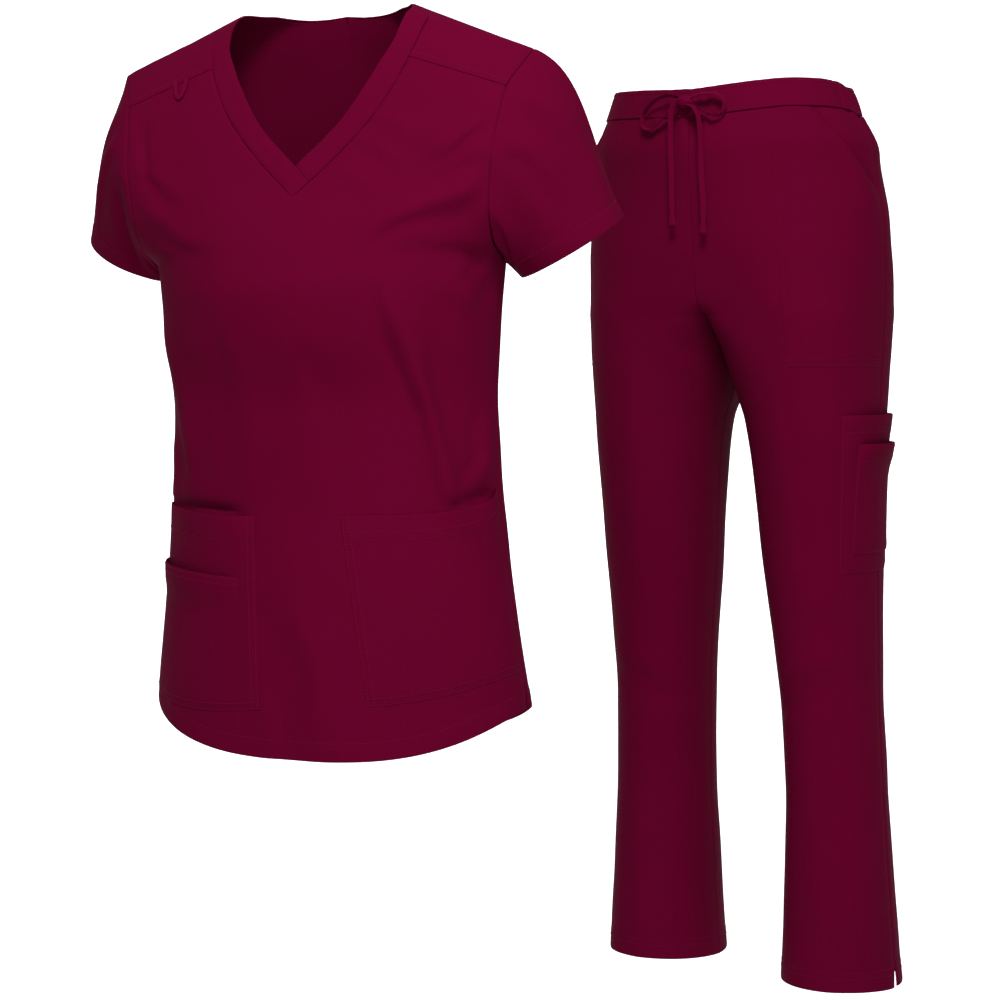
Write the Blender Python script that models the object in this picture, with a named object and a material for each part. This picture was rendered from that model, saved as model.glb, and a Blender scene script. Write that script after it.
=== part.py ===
"""Medical scrubs set: a short-sleeved V-neck top and full-length drawstring trousers.

Both garments keep the hollow, open shape that they have when they are worn.
Each cut and sewn piece is its own closed solid: a thin wall of cloth with a
fine gap to the pieces that it is sewn to.

Run it with: blender --background --python part.py
"""

import math
from collections import namedtuple

import bmesh
import bpy
from mathutils import Vector

# Cloth, in metres as is every size below
CLOTH = 0.0015  # wall of one layer of twill
DOUBLE_CLOTH = 0.0022  # wall of a folded band
SEAM_GAP = 0.0006  # clear space between pieces that are sewn edge to edge
RIDGE_GAP = 0.0020  # the same on the shoulder, where the two walls lean together
LAYER_GAP = 0.0009  # clear space under a patch that lies on a panel

# Where each garment hangs, and which way it faces
TOP_PLACE = (0.0, 0.0, 0.0)  # middle of the neck base
TOP_YAW = math.radians(-17.5)  # turns its left side towards the front
TOP_LEAN = math.radians(-1.3)  # lifts its left shoulder
TROUSERS_PLACE = (0.427, 0.32, 0.0)
TROUSERS_YAW = math.radians(-30.0)

# Colours: linear red, green and blue
WINE = (0.105, 0.003, 0.022, 1.0)
WINE_CORD = (0.125, 0.006, 0.028, 1.0)
CLOTH_ROUGHNESS = 0.78
CORD_ROUGHNESS = 0.85

# Rows of a body panel, from the shoulder seam down to the hem. "side" is the
# armhole edge or the side seam, "middle" the centre line, "wrap" how many
# degrees short of the widest point the panel ends, and "bow" how its height
# changes between side and middle (1 is straight).
PanelRow = namedtuple("PanelRow", "down side_x side_y side_z middle_y middle_z wrap bow")

TOP_FRONT = (
    PanelRow(0.000, 0.204, 0.000, -0.046, -0.013, 0.0225, 20, 1.0),
    PanelRow(0.030, 0.196, -0.018, -0.062, -0.030, 0.004, 28, 1.0),
    PanelRow(0.062, 0.187, -0.036, -0.083, -0.042, -0.019, 32, 1.0),
    PanelRow(0.100, 0.182, -0.050, -0.115, -0.056, -0.063, 32, 1.2),
    PanelRow(0.140, 0.178, -0.060, -0.150, -0.071, -0.117, 30, 1.5),
    PanelRow(0.185, 0.175, -0.058, -0.190, -0.088, -0.170, 24, 2.0),
    PanelRow(0.220, 0.172, -0.036, -0.222, -0.106, -0.210, 12, 2.0),
    PanelRow(0.245, 0.169, 0.000, -0.237, -0.115, -0.233, 0, 2.0),
    PanelRow(0.272, 0.166, 0.000, -0.262, -0.121, -0.262, 0, 2.0),
    PanelRow(0.305, 0.162, 0.000, -0.295, -0.118, -0.296, 0, 2.0),
    PanelRow(0.380, 0.155, 0.000, -0.370, -0.103, -0.371, 0, 2.0),
    PanelRow(0.460, 0.159, 0.000, -0.450, -0.105, -0.452, 0, 2.0),
    PanelRow(0.570, 0.170, 0.000, -0.558, -0.114, -0.568, 0, 2.3),
    PanelRow(0.665, 0.184, 0.000, -0.645, -0.120, -0.684, 0, 3.2),
)
TOP_BACK = (
    PanelRow(0.000, 0.204, 0.000, -0.046, -0.013, 0.0225, 20, 1.0),
    PanelRow(0.018, 0.203, 0.010, -0.047, 0.010, 0.039, 25, 1.0),
    PanelRow(0.040, 0.199, 0.022, -0.053, 0.036, 0.034, 28, 1.0),
    PanelRow(0.060, 0.194, 0.031, -0.064, 0.053, 0.022, 30, 1.0),
    PanelRow(0.080, 0.189, 0.038, -0.079, 0.061, -0.004, 32, 1.1),
    PanelRow(0.115, 0.183, 0.048, -0.110, 0.075, -0.052, 32, 1.3),
    PanelRow(0.155, 0.178, 0.057, -0.150, 0.088, -0.115, 30, 1.5),
    PanelRow(0.195, 0.175, 0.056, -0.190, 0.097, -0.170, 24, 2.0),
    PanelRow(0.224, 0.172, 0.036, -0.222, 0.103, -0.210, 12, 2.0),
    PanelRow(0.245, 0.169, 0.000, -0.237, 0.105, -0.233, 0, 2.0),
    PanelRow(0.272, 0.166, 0.000, -0.262, 0.106, -0.262, 0, 2.0),
    PanelRow(0.305, 0.162, 0.000, -0.295, 0.104, -0.296, 0, 2.0),
    PanelRow(0.380, 0.155, 0.000, -0.370, 0.093, -0.371, 0, 2.0),
    PanelRow(0.460, 0.159, 0.000, -0.450, 0.100, -0.452, 0, 2.0),
    PanelRow(0.570, 0.170, 0.000, -0.558, 0.109, -0.568, 0, 2.3),
    PanelRow(0.665, 0.184, 0.000, -0.645, 0.116, -0.690, 0, 3.2),
)
UNDERARM_DOWN = 0.245
ARMHOLE_STEP = UNDERARM_DOWN / 12  # rows of the armhole, which the sleeve's faces meet
YOKE_DOWN = 3 * ARMHOLE_STEP  # front yoke seam
HEM_DOWN = 0.665
HEM_SWING = 0.030  # how much lower the hem hangs for each metre towards the left
VENT_HEIGHT = 0.035  # open slit at the foot of each side seam
VENT_OPENING = 0.004

# Neckline in front view, as distance from the middle and height
NeckRow = namedtuple("NeckRow", "height half_width")
NECK_EDGE = (
    NeckRow(-0.0068, 0.0860),
    NeckRow(-0.0290, 0.0830),
    NeckRow(-0.0580, 0.0700),
    NeckRow(-0.0750, 0.0610),
    NeckRow(-0.1080, 0.0400),
    NeckRow(-0.1490, 0.0000),
)
BAND_EDGE = (
    NeckRow(-0.0136, 0.1060),
    NeckRow(-0.0340, 0.1020),
    NeckRow(-0.0660, 0.0910),
    NeckRow(-0.1040, 0.0700),
    NeckRow(-0.1420, 0.0370),
    NeckRow(-0.1770, 0.0000),
)
LAP_END = (0.0145, -0.1637)  # where the band's lap line meets its other half

# Back neckline: half its width at each row of the back panel
BackNeckRow = namedtuple("BackNeckRow", "down half_width")
BACK_NECK = (
    BackNeckRow(0.000, 0.0860),
    BackNeckRow(0.010, 0.0870),
    BackNeckRow(0.020, 0.0820),
    BackNeckRow(0.031, 0.0750),
    BackNeckRow(0.042, 0.0650),
    BackNeckRow(0.052, 0.0550),
    BackNeckRow(0.063, 0.0400),
    BackNeckRow(0.071, 0.0200),
    BackNeckRow(0.075, 0.0000),
)

# Soft folds that stand out of the top: from (x, z) to (x, z), how far they
# reach to each side, and how high they are
Fold = namedtuple("Fold", "front start end reach height")
TOP_FOLDS = (
    Fold(True, (0.098, -0.280), (0.112, -0.355), 0.016, 0.0030),
    Fold(True, (0.110, -0.345), (0.138, -0.450), 0.014, 0.0028),
    Fold(True, (0.172, -0.165), (0.098, -0.202), 0.015, 0.0028),
    Fold(True, (0.176, -0.110), (0.130, -0.140), 0.012, 0.0020),
    Fold(True, (-0.166, -0.185), (-0.110, -0.215), 0.015, 0.0024),
    Fold(True, (-0.140, -0.300), (-0.120, -0.400), 0.018, 0.0022),
    Fold(False, (0.165, -0.170), (0.095, -0.230), 0.016, 0.0028),
    Fold(False, (-0.165, -0.165), (-0.100, -0.220), 0.016, 0.0028),
    Fold(False, (0.060, -0.330), (0.085, -0.470), 0.020, 0.0025),
    Fold(False, (-0.050, -0.350), (-0.080, -0.480), 0.020, 0.0025),
)
# Sleeves, measured on the left: the cuff's centre, the way from there to its
# upper edge, half its depth, and how far the sleeve's top follows the shoulder
# before it falls, both along its top and along its front and back. The right
# sleeve hangs closer to the body.
SleeveShape = namedtuple("SleeveShape", "cuff_centre cuff_upwards cuff_half_depth cap flank")
SLEEVES = {
    1: SleeveShape(Vector((0.2285, 0.026, -0.225)), Vector((0.0430, 0.010, 0.0330)), 0.052, 0.80, 0.3),
    -1: SleeveShape(Vector((0.2173, 0.030, -0.2195)), Vector((0.0375, 0.006, 0.0480)), 0.034, 0.10, 0.78),
}
ARMHOLE_CENTRE = Vector((0.185, 0.0, -0.140))

# Patches on the top: corner (x, z) in front view, x from the middle
PatchCorners = namedtuple("PatchCorners", "top_inner top_outer low_inner low_outer")
LEFT_POCKET = PatchCorners((0.042, -0.464), (0.1575, -0.447), (0.066, -0.636), (0.1755, -0.619))
RIGHT_POCKET = PatchCorners((0.041, -0.464), (0.155, -0.456), (0.035, -0.640), (0.174, -0.636))
RIGHT_SLOT = PatchCorners((0.049, -0.520), (0.158, -0.509), (0.040, -0.639), (0.174, -0.635))
POCKET_MOUTH = 0.006  # how far the mouth of a pocket stands open
BADGE_LOOP = (-0.129, -0.0670)  # middle of the loop under the right yoke seam

# Rings of one trouser leg, from the waist seam down to the hem. The ring is an
# ellipse round (leg_x, centre_y); above the crotch it is cut off at the middle.
LegRow = namedtuple("LegRow", "height leg_x half_width front back centre_y")
LEG_ROWS = (
    LegRow(-0.0700, 0.0000, 0.1360, 0.1080, 0.0980, -0.030),
    LegRow(-0.1100, 0.0000, 0.1550, 0.1170, 0.1220, -0.024),
    LegRow(-0.1600, 0.0060, 0.1560, 0.1175, 0.1292, -0.017),
    LegRow(-0.2100, 0.0300, 0.1360, 0.1165, 0.1245, -0.014),
    LegRow(-0.2400, 0.0500, 0.1162, 0.1140, 0.1215, -0.011),
    LegRow(-0.2640, 0.0680, 0.0973, 0.1105, 0.1185, -0.010),
    LegRow(-0.2800, 0.0822, 0.0822, 0.1080, 0.1160, -0.009),
    LegRow(-0.3250, 0.0820, 0.0807, 0.1045, 0.1080, -0.008),
    LegRow(-0.3600, 0.0848, 0.0763, 0.0990, 0.1015, -0.008),
    LegRow(-0.3900, 0.0886, 0.0711, 0.0940, 0.0960, -0.008),
    LegRow(-0.4400, 0.0916, 0.0671, 0.0880, 0.0905, -0.005),
    LegRow(-0.5400, 0.0940, 0.0615, 0.0780, 0.0800, 0.004),
    LegRow(-0.6300, 0.0980, 0.0560, 0.0695, 0.0720, 0.014),
    LegRow(-0.7030, 0.1010, 0.0530, 0.0650, 0.0680, 0.021),
    LegRow(-0.7800, 0.1040, 0.0530, 0.0655, 0.0680, 0.028),
    LegRow(-0.8700, 0.1060, 0.0560, 0.0710, 0.0730, 0.033),
    LegRow(-1.0000, 0.1080, 0.0630, 0.0790, 0.0800, 0.040),
)
WAIST_SEAM = -0.070
CROTCH = -0.280
# The thighs are fuller than an ellipse where they face each other: 2 is an
# ellipse, more is squarer
FRONT_FULLNESS = 8.0
BACK_FULLNESS = 3.0
FULL_TOP = -0.190  # this fullness grows from here down to the crotch
FULL_FADE = 0.018  # and fades out over about this much below it
TROUSER_HEM = -1.000
STANCE = 0.007  # how far the left leg stands in front of the middle, and the right behind
STANCE_TOP = -0.350
FRONT_DIP = -0.007  # the waist is lower in front
BACK_RISE = 0.013  # and higher behind
DIP_FADE = 0.130  # the height over which the waist's dip fades out
ANKLE_VENT = 0.035
INSTEP_RISE = 0.006  # the hem is higher over the foot
HEEL_DROP = -0.002
RIGHT_LIFT = 0.004  # the right hem hangs a little higher

# Waistband
BAND_HEIGHT = 0.032
BAND_TOP_TAPER = 0.003  # how much narrower the band is at its top
BAND_PROUD = 0.0012  # how far the band stands out from the panels under it
ELASTIC_START = 16.0  # degrees in front of the side seam where the gathers begin
GATHERS = 34  # ripples of the elastic, round the back
GATHER_DEPTH = 0.0016

# Trouser patches
HIP_POCKET_INNER = (0.080, 0.098)  # distance from the middle at its top and bottom
HIP_POCKET_BOTTOM = -0.333
HIP_SLASH_SHARE = 0.4  # how far across the patch the slanted mouth starts
HIP_POCKET_GAP = 0.0023  # clear space under it, where the hip is most curved
HIP_MOUTH = 0.006  # how far the mouth stands open
HIP_SLASH_END = -0.150  # height at which the mouth meets the side seam
# "front" is how many degrees its front edge lies before the side seam, at its
# top and bottom, "back" how far its back edge lies behind, "mouth" how far its
# top stands open.
CargoShape = namedtuple("CargoShape", "front_top front_bottom back top bottom mouth")
CARGO = CargoShape(41.0, 49.0, 48.0, -0.382, -0.548, 0.0065)
SMALL_CARGO = CargoShape(28.0, 36.0, 42.0, -0.412, -0.528, 0.0090)

# Drawstring, in the trousers' own frame
CORD_DIAMETER = 0.005
KNOT_CENTRE = Vector((-0.002, -0.1460, -0.0620))
KNOT_SIZE = Vector((0.0110, 0.0055, 0.0075))  # half sizes
CORD_ROUTES = {
    "drawstring_end_right": (
        (-0.0080, -0.1480, -0.0715), (-0.0140, -0.1500, -0.0760), (-0.0190, -0.1500, -0.0870),
        (-0.0212, -0.1490, -0.1010), (-0.0222, -0.1480, -0.1160), (-0.0225, -0.1465, -0.1310),
        (-0.0225, -0.1450, -0.1460), (-0.0224, -0.1438, -0.1610), (-0.0222, -0.1430, -0.1840),
    ),
    "drawstring_end_left": (
        (0.0050, -0.1480, -0.0715), (0.0105, -0.1500, -0.0755), (0.0150, -0.1505, -0.0850),
        (0.0170, -0.1495, -0.0990), (0.0174, -0.1480, -0.1140), (0.0172, -0.1468, -0.1290),
        (0.0172, -0.1452, -0.1440), (0.0178, -0.1440, -0.1590), (0.0176, -0.1432, -0.1770),
        (0.0168, -0.1430, -0.1980),
    ),
    "drawstring_loop_right": (
        (-0.0145, -0.1460, -0.0575), (-0.0240, -0.1460, -0.0560), (-0.0350, -0.1440, -0.0590),
        (-0.0460, -0.1400, -0.0660), (-0.0545, -0.1370, -0.0760), (-0.0540, -0.1375, -0.0860),
        (-0.0440, -0.1410, -0.0900), (-0.0340, -0.1445, -0.0850), (-0.0240, -0.1475, -0.0755),
        (-0.0160, -0.1480, -0.0670),
    ),
    "drawstring_loop_left": (
        (0.0108, -0.1460, -0.0565), (0.0200, -0.1460, -0.0525), (0.0310, -0.1440, -0.0510),
        (0.0415, -0.1415, -0.0540), (0.0480, -0.1390, -0.0620), (0.0455, -0.1400, -0.0715),
        (0.0365, -0.1425, -0.0755), (0.0270, -0.1455, -0.0730), (0.0185, -0.1480, -0.0680),
        (0.0115, -0.1480, -0.0645),
    ),
}

# Faces of a panel: across half a body panel, round half a leg, round a sleeve
BODY_COLUMNS = 12
BACK_COLUMNS = 10
LEG_COLUMNS = 14
SLEEVE_COLUMNS = 24  # twice the rows of the armhole
SLEEVE_ROWS = 7


def clear_scene():
    for old in list(bpy.data.objects):
        bpy.data.objects.remove(old, do_unlink=True)


def spread(start, end, count):
    """Evenly spaced values from start to end, in this many steps."""
    return [start + (end - start) * step / count for step in range(count + 1)]


def smoothstep(value):
    value = min(max(value, 0.0), 1.0)
    return value * value * (3.0 - 2.0 * value)


def smooth_value(places, values, place):
    """A smooth curve through the values that never swings past them."""
    if place <= places[0]:
        return values[0]
    if place >= places[-1]:
        return values[-1]
    count = len(places)
    index = max(i for i in range(count - 1) if places[i] <= place)
    steps = [places[i + 1] - places[i] for i in range(count - 1)]
    slopes = [(values[i + 1] - values[i]) / steps[i] for i in range(count - 1)]

    def tangent(i):
        if i == 0:
            return slopes[0]
        if i == count - 1:
            return slopes[-1]
        if slopes[i - 1] * slopes[i] <= 0.0:
            return 0.0
        return 2.0 * slopes[i - 1] * slopes[i] / (slopes[i - 1] + slopes[i])

    step = steps[index]
    t = (place - places[index]) / step
    return (
        (1 + 2 * t) * (1 - t) ** 2 * values[index]
        + t * (1 - t) ** 2 * step * tangent(index)
        + t * t * (3 - 2 * t) * values[index + 1]
        - t * t * (1 - t) * step * tangent(index + 1)
    )


def row_at(rows, place, falling=False):
    """The row at this place, between the table's rows; its first column is the place."""
    sign = -1.0 if falling else 1.0
    places = [sign * row[0] for row in rows]
    columns = zip(*rows)
    return type(rows[0])(*(smooth_value(places, column, sign * place) for column in columns))


def solve(function, low, high):
    """Where a function that rises from below 0 to above 0 crosses it."""
    for _ in range(40):
        middle = (low + high) / 2
        if function(middle) < 0:
            low = middle
        else:
            high = middle
    return (low + high) / 2


# ---------------------------------------------------------------- the top

def fold_height(x, z, front):
    """How far the folds lift the cloth at (x, z) of the front or the back."""
    height = 0.0
    for fold in TOP_FOLDS:
        if fold.front != front:
            continue
        along_x, along_z = fold.end[0] - fold.start[0], fold.end[1] - fold.start[1]
        length = math.hypot(along_x, along_z)
        along_x, along_z = along_x / length, along_z / length
        from_x, from_z = x - fold.start[0], z - fold.start[1]
        along = (from_x * along_x + from_z * along_z) / length
        aside = (from_z * along_x - from_x * along_z) / fold.reach
        if -0.3 < along < 1.3:
            fade = smoothstep((along + 0.3) / 0.5) * smoothstep((1.3 - along) / 0.5)
            height += fold.height * fade * math.exp(-aside * aside)
    return height


def panel_point(rows, across, down, side=1):
    """A point on a body panel; across is 0 at the side and 1 at the middle."""
    row = row_at(rows, down)
    wrap = math.radians(row.wrap)
    angle = wrap + (math.pi / 2 - wrap) * across
    reach = math.cos(angle) / math.cos(wrap)
    depth = (math.sin(angle) - math.sin(wrap)) / (1 - math.sin(wrap))
    x = side * row.side_x * reach
    y = row.side_y + (row.middle_y - row.side_y) * depth
    z = row.middle_z + (row.side_z - row.middle_z) * reach ** row.bow
    z -= HEM_SWING * x * smoothstep((down - 0.35) / (HEM_DOWN - 0.35))
    at_seam = smoothstep(across * 5)
    lift = fold_height(x, z, rows is TOP_FRONT) * at_seam
    return Vector((x, y + (-lift if rows is TOP_FRONT else lift), z))


def across_at(rows, x, down):
    """How far across the panel the distance x from the middle lies."""
    row = row_at(rows, down)
    wrap = math.radians(row.wrap)
    angle = math.acos(min(max(x / row.side_x * math.cos(wrap), -1.0), 1.0))
    return (angle - wrap) / (math.pi / 2 - wrap)


def panel_normal(rows, across, down, side=1):
    """The direction that points out of the garment."""
    step = 0.002
    over = min(max(across, step), 1 - step)
    along = min(max(down, step), HEM_DOWN - step)
    middle_way = (panel_point(rows, over + step, along, side)
                  - panel_point(rows, over - step, along, side))
    hem_way = (panel_point(rows, over, along + step, side)
               - panel_point(rows, over, along - step, side))
    normal = middle_way.cross(hem_way).normalized()
    outwards = Vector((side * 0.5, -1.0 if rows is TOP_FRONT else 1.0, 0.2))
    return normal if normal.dot(outwards) > 0 else -normal


def neck_half_width(table, height):
    return row_at(table, height, falling=True).half_width


def front_inner(down):
    """How far from the middle the front panel ends: at the neck band, or not at all."""
    lowest = panel_point(TOP_FRONT, 1.0, down).z
    if lowest <= BAND_EDGE[-1].height:
        return 0.0

    def past_band(x):
        point = panel_point(TOP_FRONT, across_at(TOP_FRONT, x, down), down)
        return x - neck_half_width(BAND_EDGE, point.z)

    return solve(past_band, 0.0, 0.15) + SEAM_GAP


def back_inner(down):
    """Half the width of the back neckline at this row."""
    return row_at(BACK_NECK, down).half_width


def seam_shift(down, faces_front):
    """Keeps the front and back apart along the side seam, and opens the vent at its foot."""
    open_share = smoothstep((down - (HEM_DOWN - VENT_HEIGHT)) / VENT_HEIGHT)
    shift = SEAM_GAP / 2 + VENT_OPENING * open_share
    return -shift if faces_front else shift


def half_panel(rows, inner, side):
    """The surface of the left (side 1) or right (side -1) half of a body panel."""
    faces_front = rows is TOP_FRONT

    def surface(across, down):
        limit = across_at(rows, inner(down), down)
        point = panel_point(rows, across * limit, down, side)
        at_side = 1 - smoothstep(across * 4)
        if down >= UNDERARM_DOWN:
            point.y += seam_shift(down, faces_front) * at_side
        return point

    return surface


def lay_sheet(mesh, surface, across, along):
    """A flat grid laid on surface(a, b), with a from across and b from along."""
    columns = len(across) - 1
    lines = len(along) - 1
    grid = bmesh.ops.create_grid(mesh, x_segments=columns, y_segments=lines, size=0.5)
    for vert in grid["verts"]:
        column = round((vert.co.x + 0.5) * columns)
        line = round((vert.co.y + 0.5) * lines)
        vert.co = surface(across[column], along[line])


def cloth_material(name, colour, roughness):
    material = bpy.data.materials.new(name)
    material.use_nodes = True
    shader = material.node_tree.nodes["Principled BSDF"]
    shader.inputs["Base Color"].default_value = colour
    shader.inputs["Roughness"].default_value = roughness
    shader.inputs["Metallic"].default_value = 0.0
    material.diffuse_color = colour
    return material


def cloth_piece(name, mesh, garment, inside, wall=CLOTH):
    """Makes one sewn piece: the mesh is its outer face, and the wall grows inwards."""
    bmesh.ops.remove_doubles(mesh, verts=mesh.verts, dist=1e-5)
    bmesh.ops.recalc_face_normals(mesh, faces=mesh.faces)
    outward = sum(
        face.normal.dot(face.calc_center_median() - inside(face.calc_center_median()))
        for face in mesh.faces
    )
    if outward < 0:
        bmesh.ops.reverse_faces(mesh, faces=mesh.faces)
    data = bpy.data.meshes.new(name)
    mesh.to_mesh(data)
    mesh.free()
    data.shade_smooth()
    piece = bpy.data.objects.new(name, data)
    bpy.context.scene.collection.objects.link(piece)
    piece.parent = garment
    data.materials.append(cloth_material(name, WINE, CLOTH_ROUGHNESS))
    thickness = piece.modifiers.new("wall", "SOLIDIFY")
    thickness.thickness = wall
    thickness.offset = -1.0
    thickness.use_even_offset = True
    thickness.use_quality_normals = True
    return piece


def top_axis(point):
    """The point on the top's upright axis that is level with this one."""
    return Vector((0.0, 0.0, min(point.z, -0.12)))


def side_name(side):
    return "left" if side > 0 else "right"


def apex_down():
    """The row of the front panel that passes just under the tip of the neck band."""
    tip = BAND_EDGE[-1].height - SEAM_GAP

    def above(down):
        return tip - panel_point(TOP_FRONT, 1.0, down).z

    return solve(above, YOKE_DOWN, UNDERARM_DOWN)


def armhole_rows(start, end):
    """The rows of the armhole that lie between these two, with both of them."""
    rows = [step * ARMHOLE_STEP for step in range(13)]
    return [start] + [row for row in rows if start + 0.002 < row < end - 0.002] + [end]


def yoke_rows():
    return armhole_rows(RIDGE_GAP / 2, YOKE_DOWN - SEAM_GAP / 2)


def chest_rows():
    """The front panel's rows beside the neck band."""
    return armhole_rows(YOKE_DOWN + SEAM_GAP / 2, apex_down())


def make_top_front(garment):
    mesh = bmesh.new()
    rows = chest_rows()
    rows += armhole_rows(rows[-1], UNDERARM_DOWN)[1:] + spread(UNDERARM_DOWN, HEM_DOWN, 15)[1:]
    for side in (1, -1):
        surface = half_panel(TOP_FRONT, front_inner, side)
        lay_sheet(mesh, surface, spread(0, 1, BODY_COLUMNS), rows)
    return cloth_piece("top_front", mesh, garment, top_axis)


def make_yoke(garment, side):
    mesh = bmesh.new()
    surface = half_panel(TOP_FRONT, front_inner, side)
    lay_sheet(mesh, surface, spread(0, 1, 6), yoke_rows())
    return cloth_piece("top_yoke_" + side_name(side), mesh, garment, top_axis)


def make_top_back(garment):
    mesh = bmesh.new()
    rows = armhole_rows(RIDGE_GAP / 2, UNDERARM_DOWN)
    rows += [(step + 0.5) * ARMHOLE_STEP for step in range(3)] + [BACK_NECK[-1].down]
    rows.sort()
    rows += spread(UNDERARM_DOWN, HEM_DOWN, 12)[1:]
    for side in (1, -1):
        surface = half_panel(TOP_BACK, back_inner, side)
        lay_sheet(mesh, surface, spread(0, 1, BACK_COLUMNS), rows)
    return cloth_piece("top_back", mesh, garment, top_axis)


def place_on_front(x, z):
    """Where (x, z) in front view lies on the top's front: across, down and side."""
    side = 1.0 if x >= 0 else -1.0
    reach = abs(x)

    def too_high(down):
        return z - panel_point(TOP_FRONT, across_at(TOP_FRONT, reach, down), down, side).z

    down = solve(too_high, 0.0, HEM_DOWN)
    return across_at(TOP_FRONT, reach, down), down, side


def lifted(across, down, side, proud):
    """A point of the top's front, moved out by proud."""
    point = panel_point(TOP_FRONT, across, down, side)
    return point + panel_normal(TOP_FRONT, across, down, side) * proud


def make_neck_band(garment, side):
    """One half of the doubled band; the right half laps over the left at the point of the V."""
    outer = []
    for down in yoke_rows()[:-1] + [YOKE_DOWN] + chest_rows()[1:]:
        x = max(front_inner(down) - SEAM_GAP, 0.0)
        outer.append((x, panel_point(TOP_FRONT, across_at(TOP_FRONT, x, down), down).z))
    if side > 0:
        outer = [point for point in outer if point[1] > LAP_END[1] + 0.004]
        outer.append((LAP_END[0] + SEAM_GAP, LAP_END[1] + 1.5 * SEAM_GAP))
        low_end = NECK_EDGE[-1].height + SEAM_GAP
        heights = spread(NECK_EDGE[0].height, low_end, len(outer) - 1)
        inner = [(neck_half_width(NECK_EDGE, height), height) for height in heights]
        inner[-1] = (SEAM_GAP, low_end)
    else:
        heights = spread(NECK_EDGE[0].height, NECK_EDGE[-1].height, len(outer) - 2)
        inner = [(neck_half_width(NECK_EDGE, height), height) for height in heights]
        inner.append((-LAP_END[0], LAP_END[1]))
    mesh = bmesh.new()

    def surface(across, index):
        start, end = inner[index], outer[index]
        x = start[0] + (end[0] - start[0]) * across
        z = start[1] + (end[1] - start[1]) * across
        return lifted(*place_on_front(x * side, z), 0.0)

    lay_sheet(mesh, surface, [0.0, 0.5, 1.0], range(len(inner)))
    return cloth_piece("neck_band_" + side_name(side), mesh, garment, top_axis, DOUBLE_CLOTH)


def armhole_edge(turn):
    """The left armhole at turn (0 shoulder tip, 0.5 underarm, 1 tip again) and its normal."""
    front = turn <= 0.5
    rows = TOP_FRONT if front else TOP_BACK
    down = UNDERARM_DOWN * (2 * turn if front else 2 - 2 * turn)
    return panel_point(rows, 0.0, down), panel_normal(rows, 0.0, down)


def sleeve_start(turn):
    """Where the left sleeve starts, just clear of the body, and which way it leaves."""
    step = 0.002
    before = armhole_edge(max(turn - step, 0.0))[0]
    after = armhole_edge(min(turn + step, 1.0))[0]
    point, normal = armhole_edge(turn)
    along = (after - before).normalized()
    away = normal.cross(along).normalized()
    low = smoothstep((0.5 - abs(turn - 0.5) - 0.33) / 0.12)
    start = point + away * (0.0012 - 0.0006 * low) + normal * 0.0009 * low
    return start, away


def sleeve_point(shape, turn, along):
    """A point of a sleeve, as if on the left, from the armhole (0) to the cuff (1)."""
    axis = (shape.cuff_centre - ARMHOLE_CENTRE).normalized()
    upwards = shape.cuff_upwards - axis * shape.cuff_upwards.dot(axis)
    forwards = upwards.normalized().cross(axis).normalized()
    if forwards.y > 0:
        forwards = -forwards
    angle = 2 * math.pi * turn
    start, away = sleeve_start(turn)
    end = shape.cuff_centre + upwards * math.cos(angle)
    end += forwards * shape.cuff_half_depth * math.sin(angle)
    chord = end - start
    cap = shape.cap * max(0.0, math.cos(angle)) + shape.flank * abs(math.sin(angle))
    leave = (chord.normalized() * (1 - cap) + away * cap).normalized() * chord.length
    arrive = (chord.normalized() * 0.5 + axis * 0.5).normalized() * chord.length
    t = along
    return (
        start * (1 + 2 * t) * (1 - t) ** 2
        + leave * t * (1 - t) ** 2
        + end * t * t * (3 - 2 * t)
        - arrive * t * t * (1 - t)
    )


def make_sleeve(garment, side):
    mesh = bmesh.new()
    shape = SLEEVES[side]

    def surface(turn, along):
        point = sleeve_point(shape, turn % 1.0, along)
        return Vector((point.x * side, point.y, point.z))

    lay_sheet(mesh, surface, spread(0, 1, SLEEVE_COLUMNS), spread(0, 1, SLEEVE_ROWS))

    def sleeve_axis(point):
        axis = shape.cuff_centre - ARMHOLE_CENTRE
        middle = Vector((ARMHOLE_CENTRE.x * side, ARMHOLE_CENTRE.y, ARMHOLE_CENTRE.z))
        line = Vector((axis.x * side, axis.y, axis.z)).normalized()
        return middle + line * (point - middle).dot(line)

    return cloth_piece("sleeve_" + side_name(side), mesh, garment, sleeve_axis)


def patch_surface(corners, side, proud, mouth):
    """A four-cornered patch on the top's front, whose upper edge stands open by mouth."""
    places = [place_on_front(x * side, z)[:2] for x, z in corners]

    def surface(over, fall):
        across, down = (
            (top_inner * (1 - over) + top_outer * over) * (1 - fall)
            + (low_inner * (1 - over) + low_outer * over) * fall
            for top_inner, top_outer, low_inner, low_outer in zip(*places)
        )
        gape = mouth * math.sin(math.pi * over) ** 2 * (1 - smoothstep(fall / 0.45))
        return lifted(across, down, side, proud + gape)

    return surface


def make_patch(garment, name, corners, side, layer, columns, lines):
    """A pocket on the top; layer 1 lies on the panel, layer 2 on another pocket."""
    proud = layer * (LAYER_GAP + CLOTH)
    mouth = POCKET_MOUTH * layer
    mesh = bmesh.new()
    surface = patch_surface(corners, side, proud, mouth)
    lay_sheet(mesh, surface, spread(0, 1, columns), spread(0, 1, lines))
    return cloth_piece(name, mesh, garment, top_axis)


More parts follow.
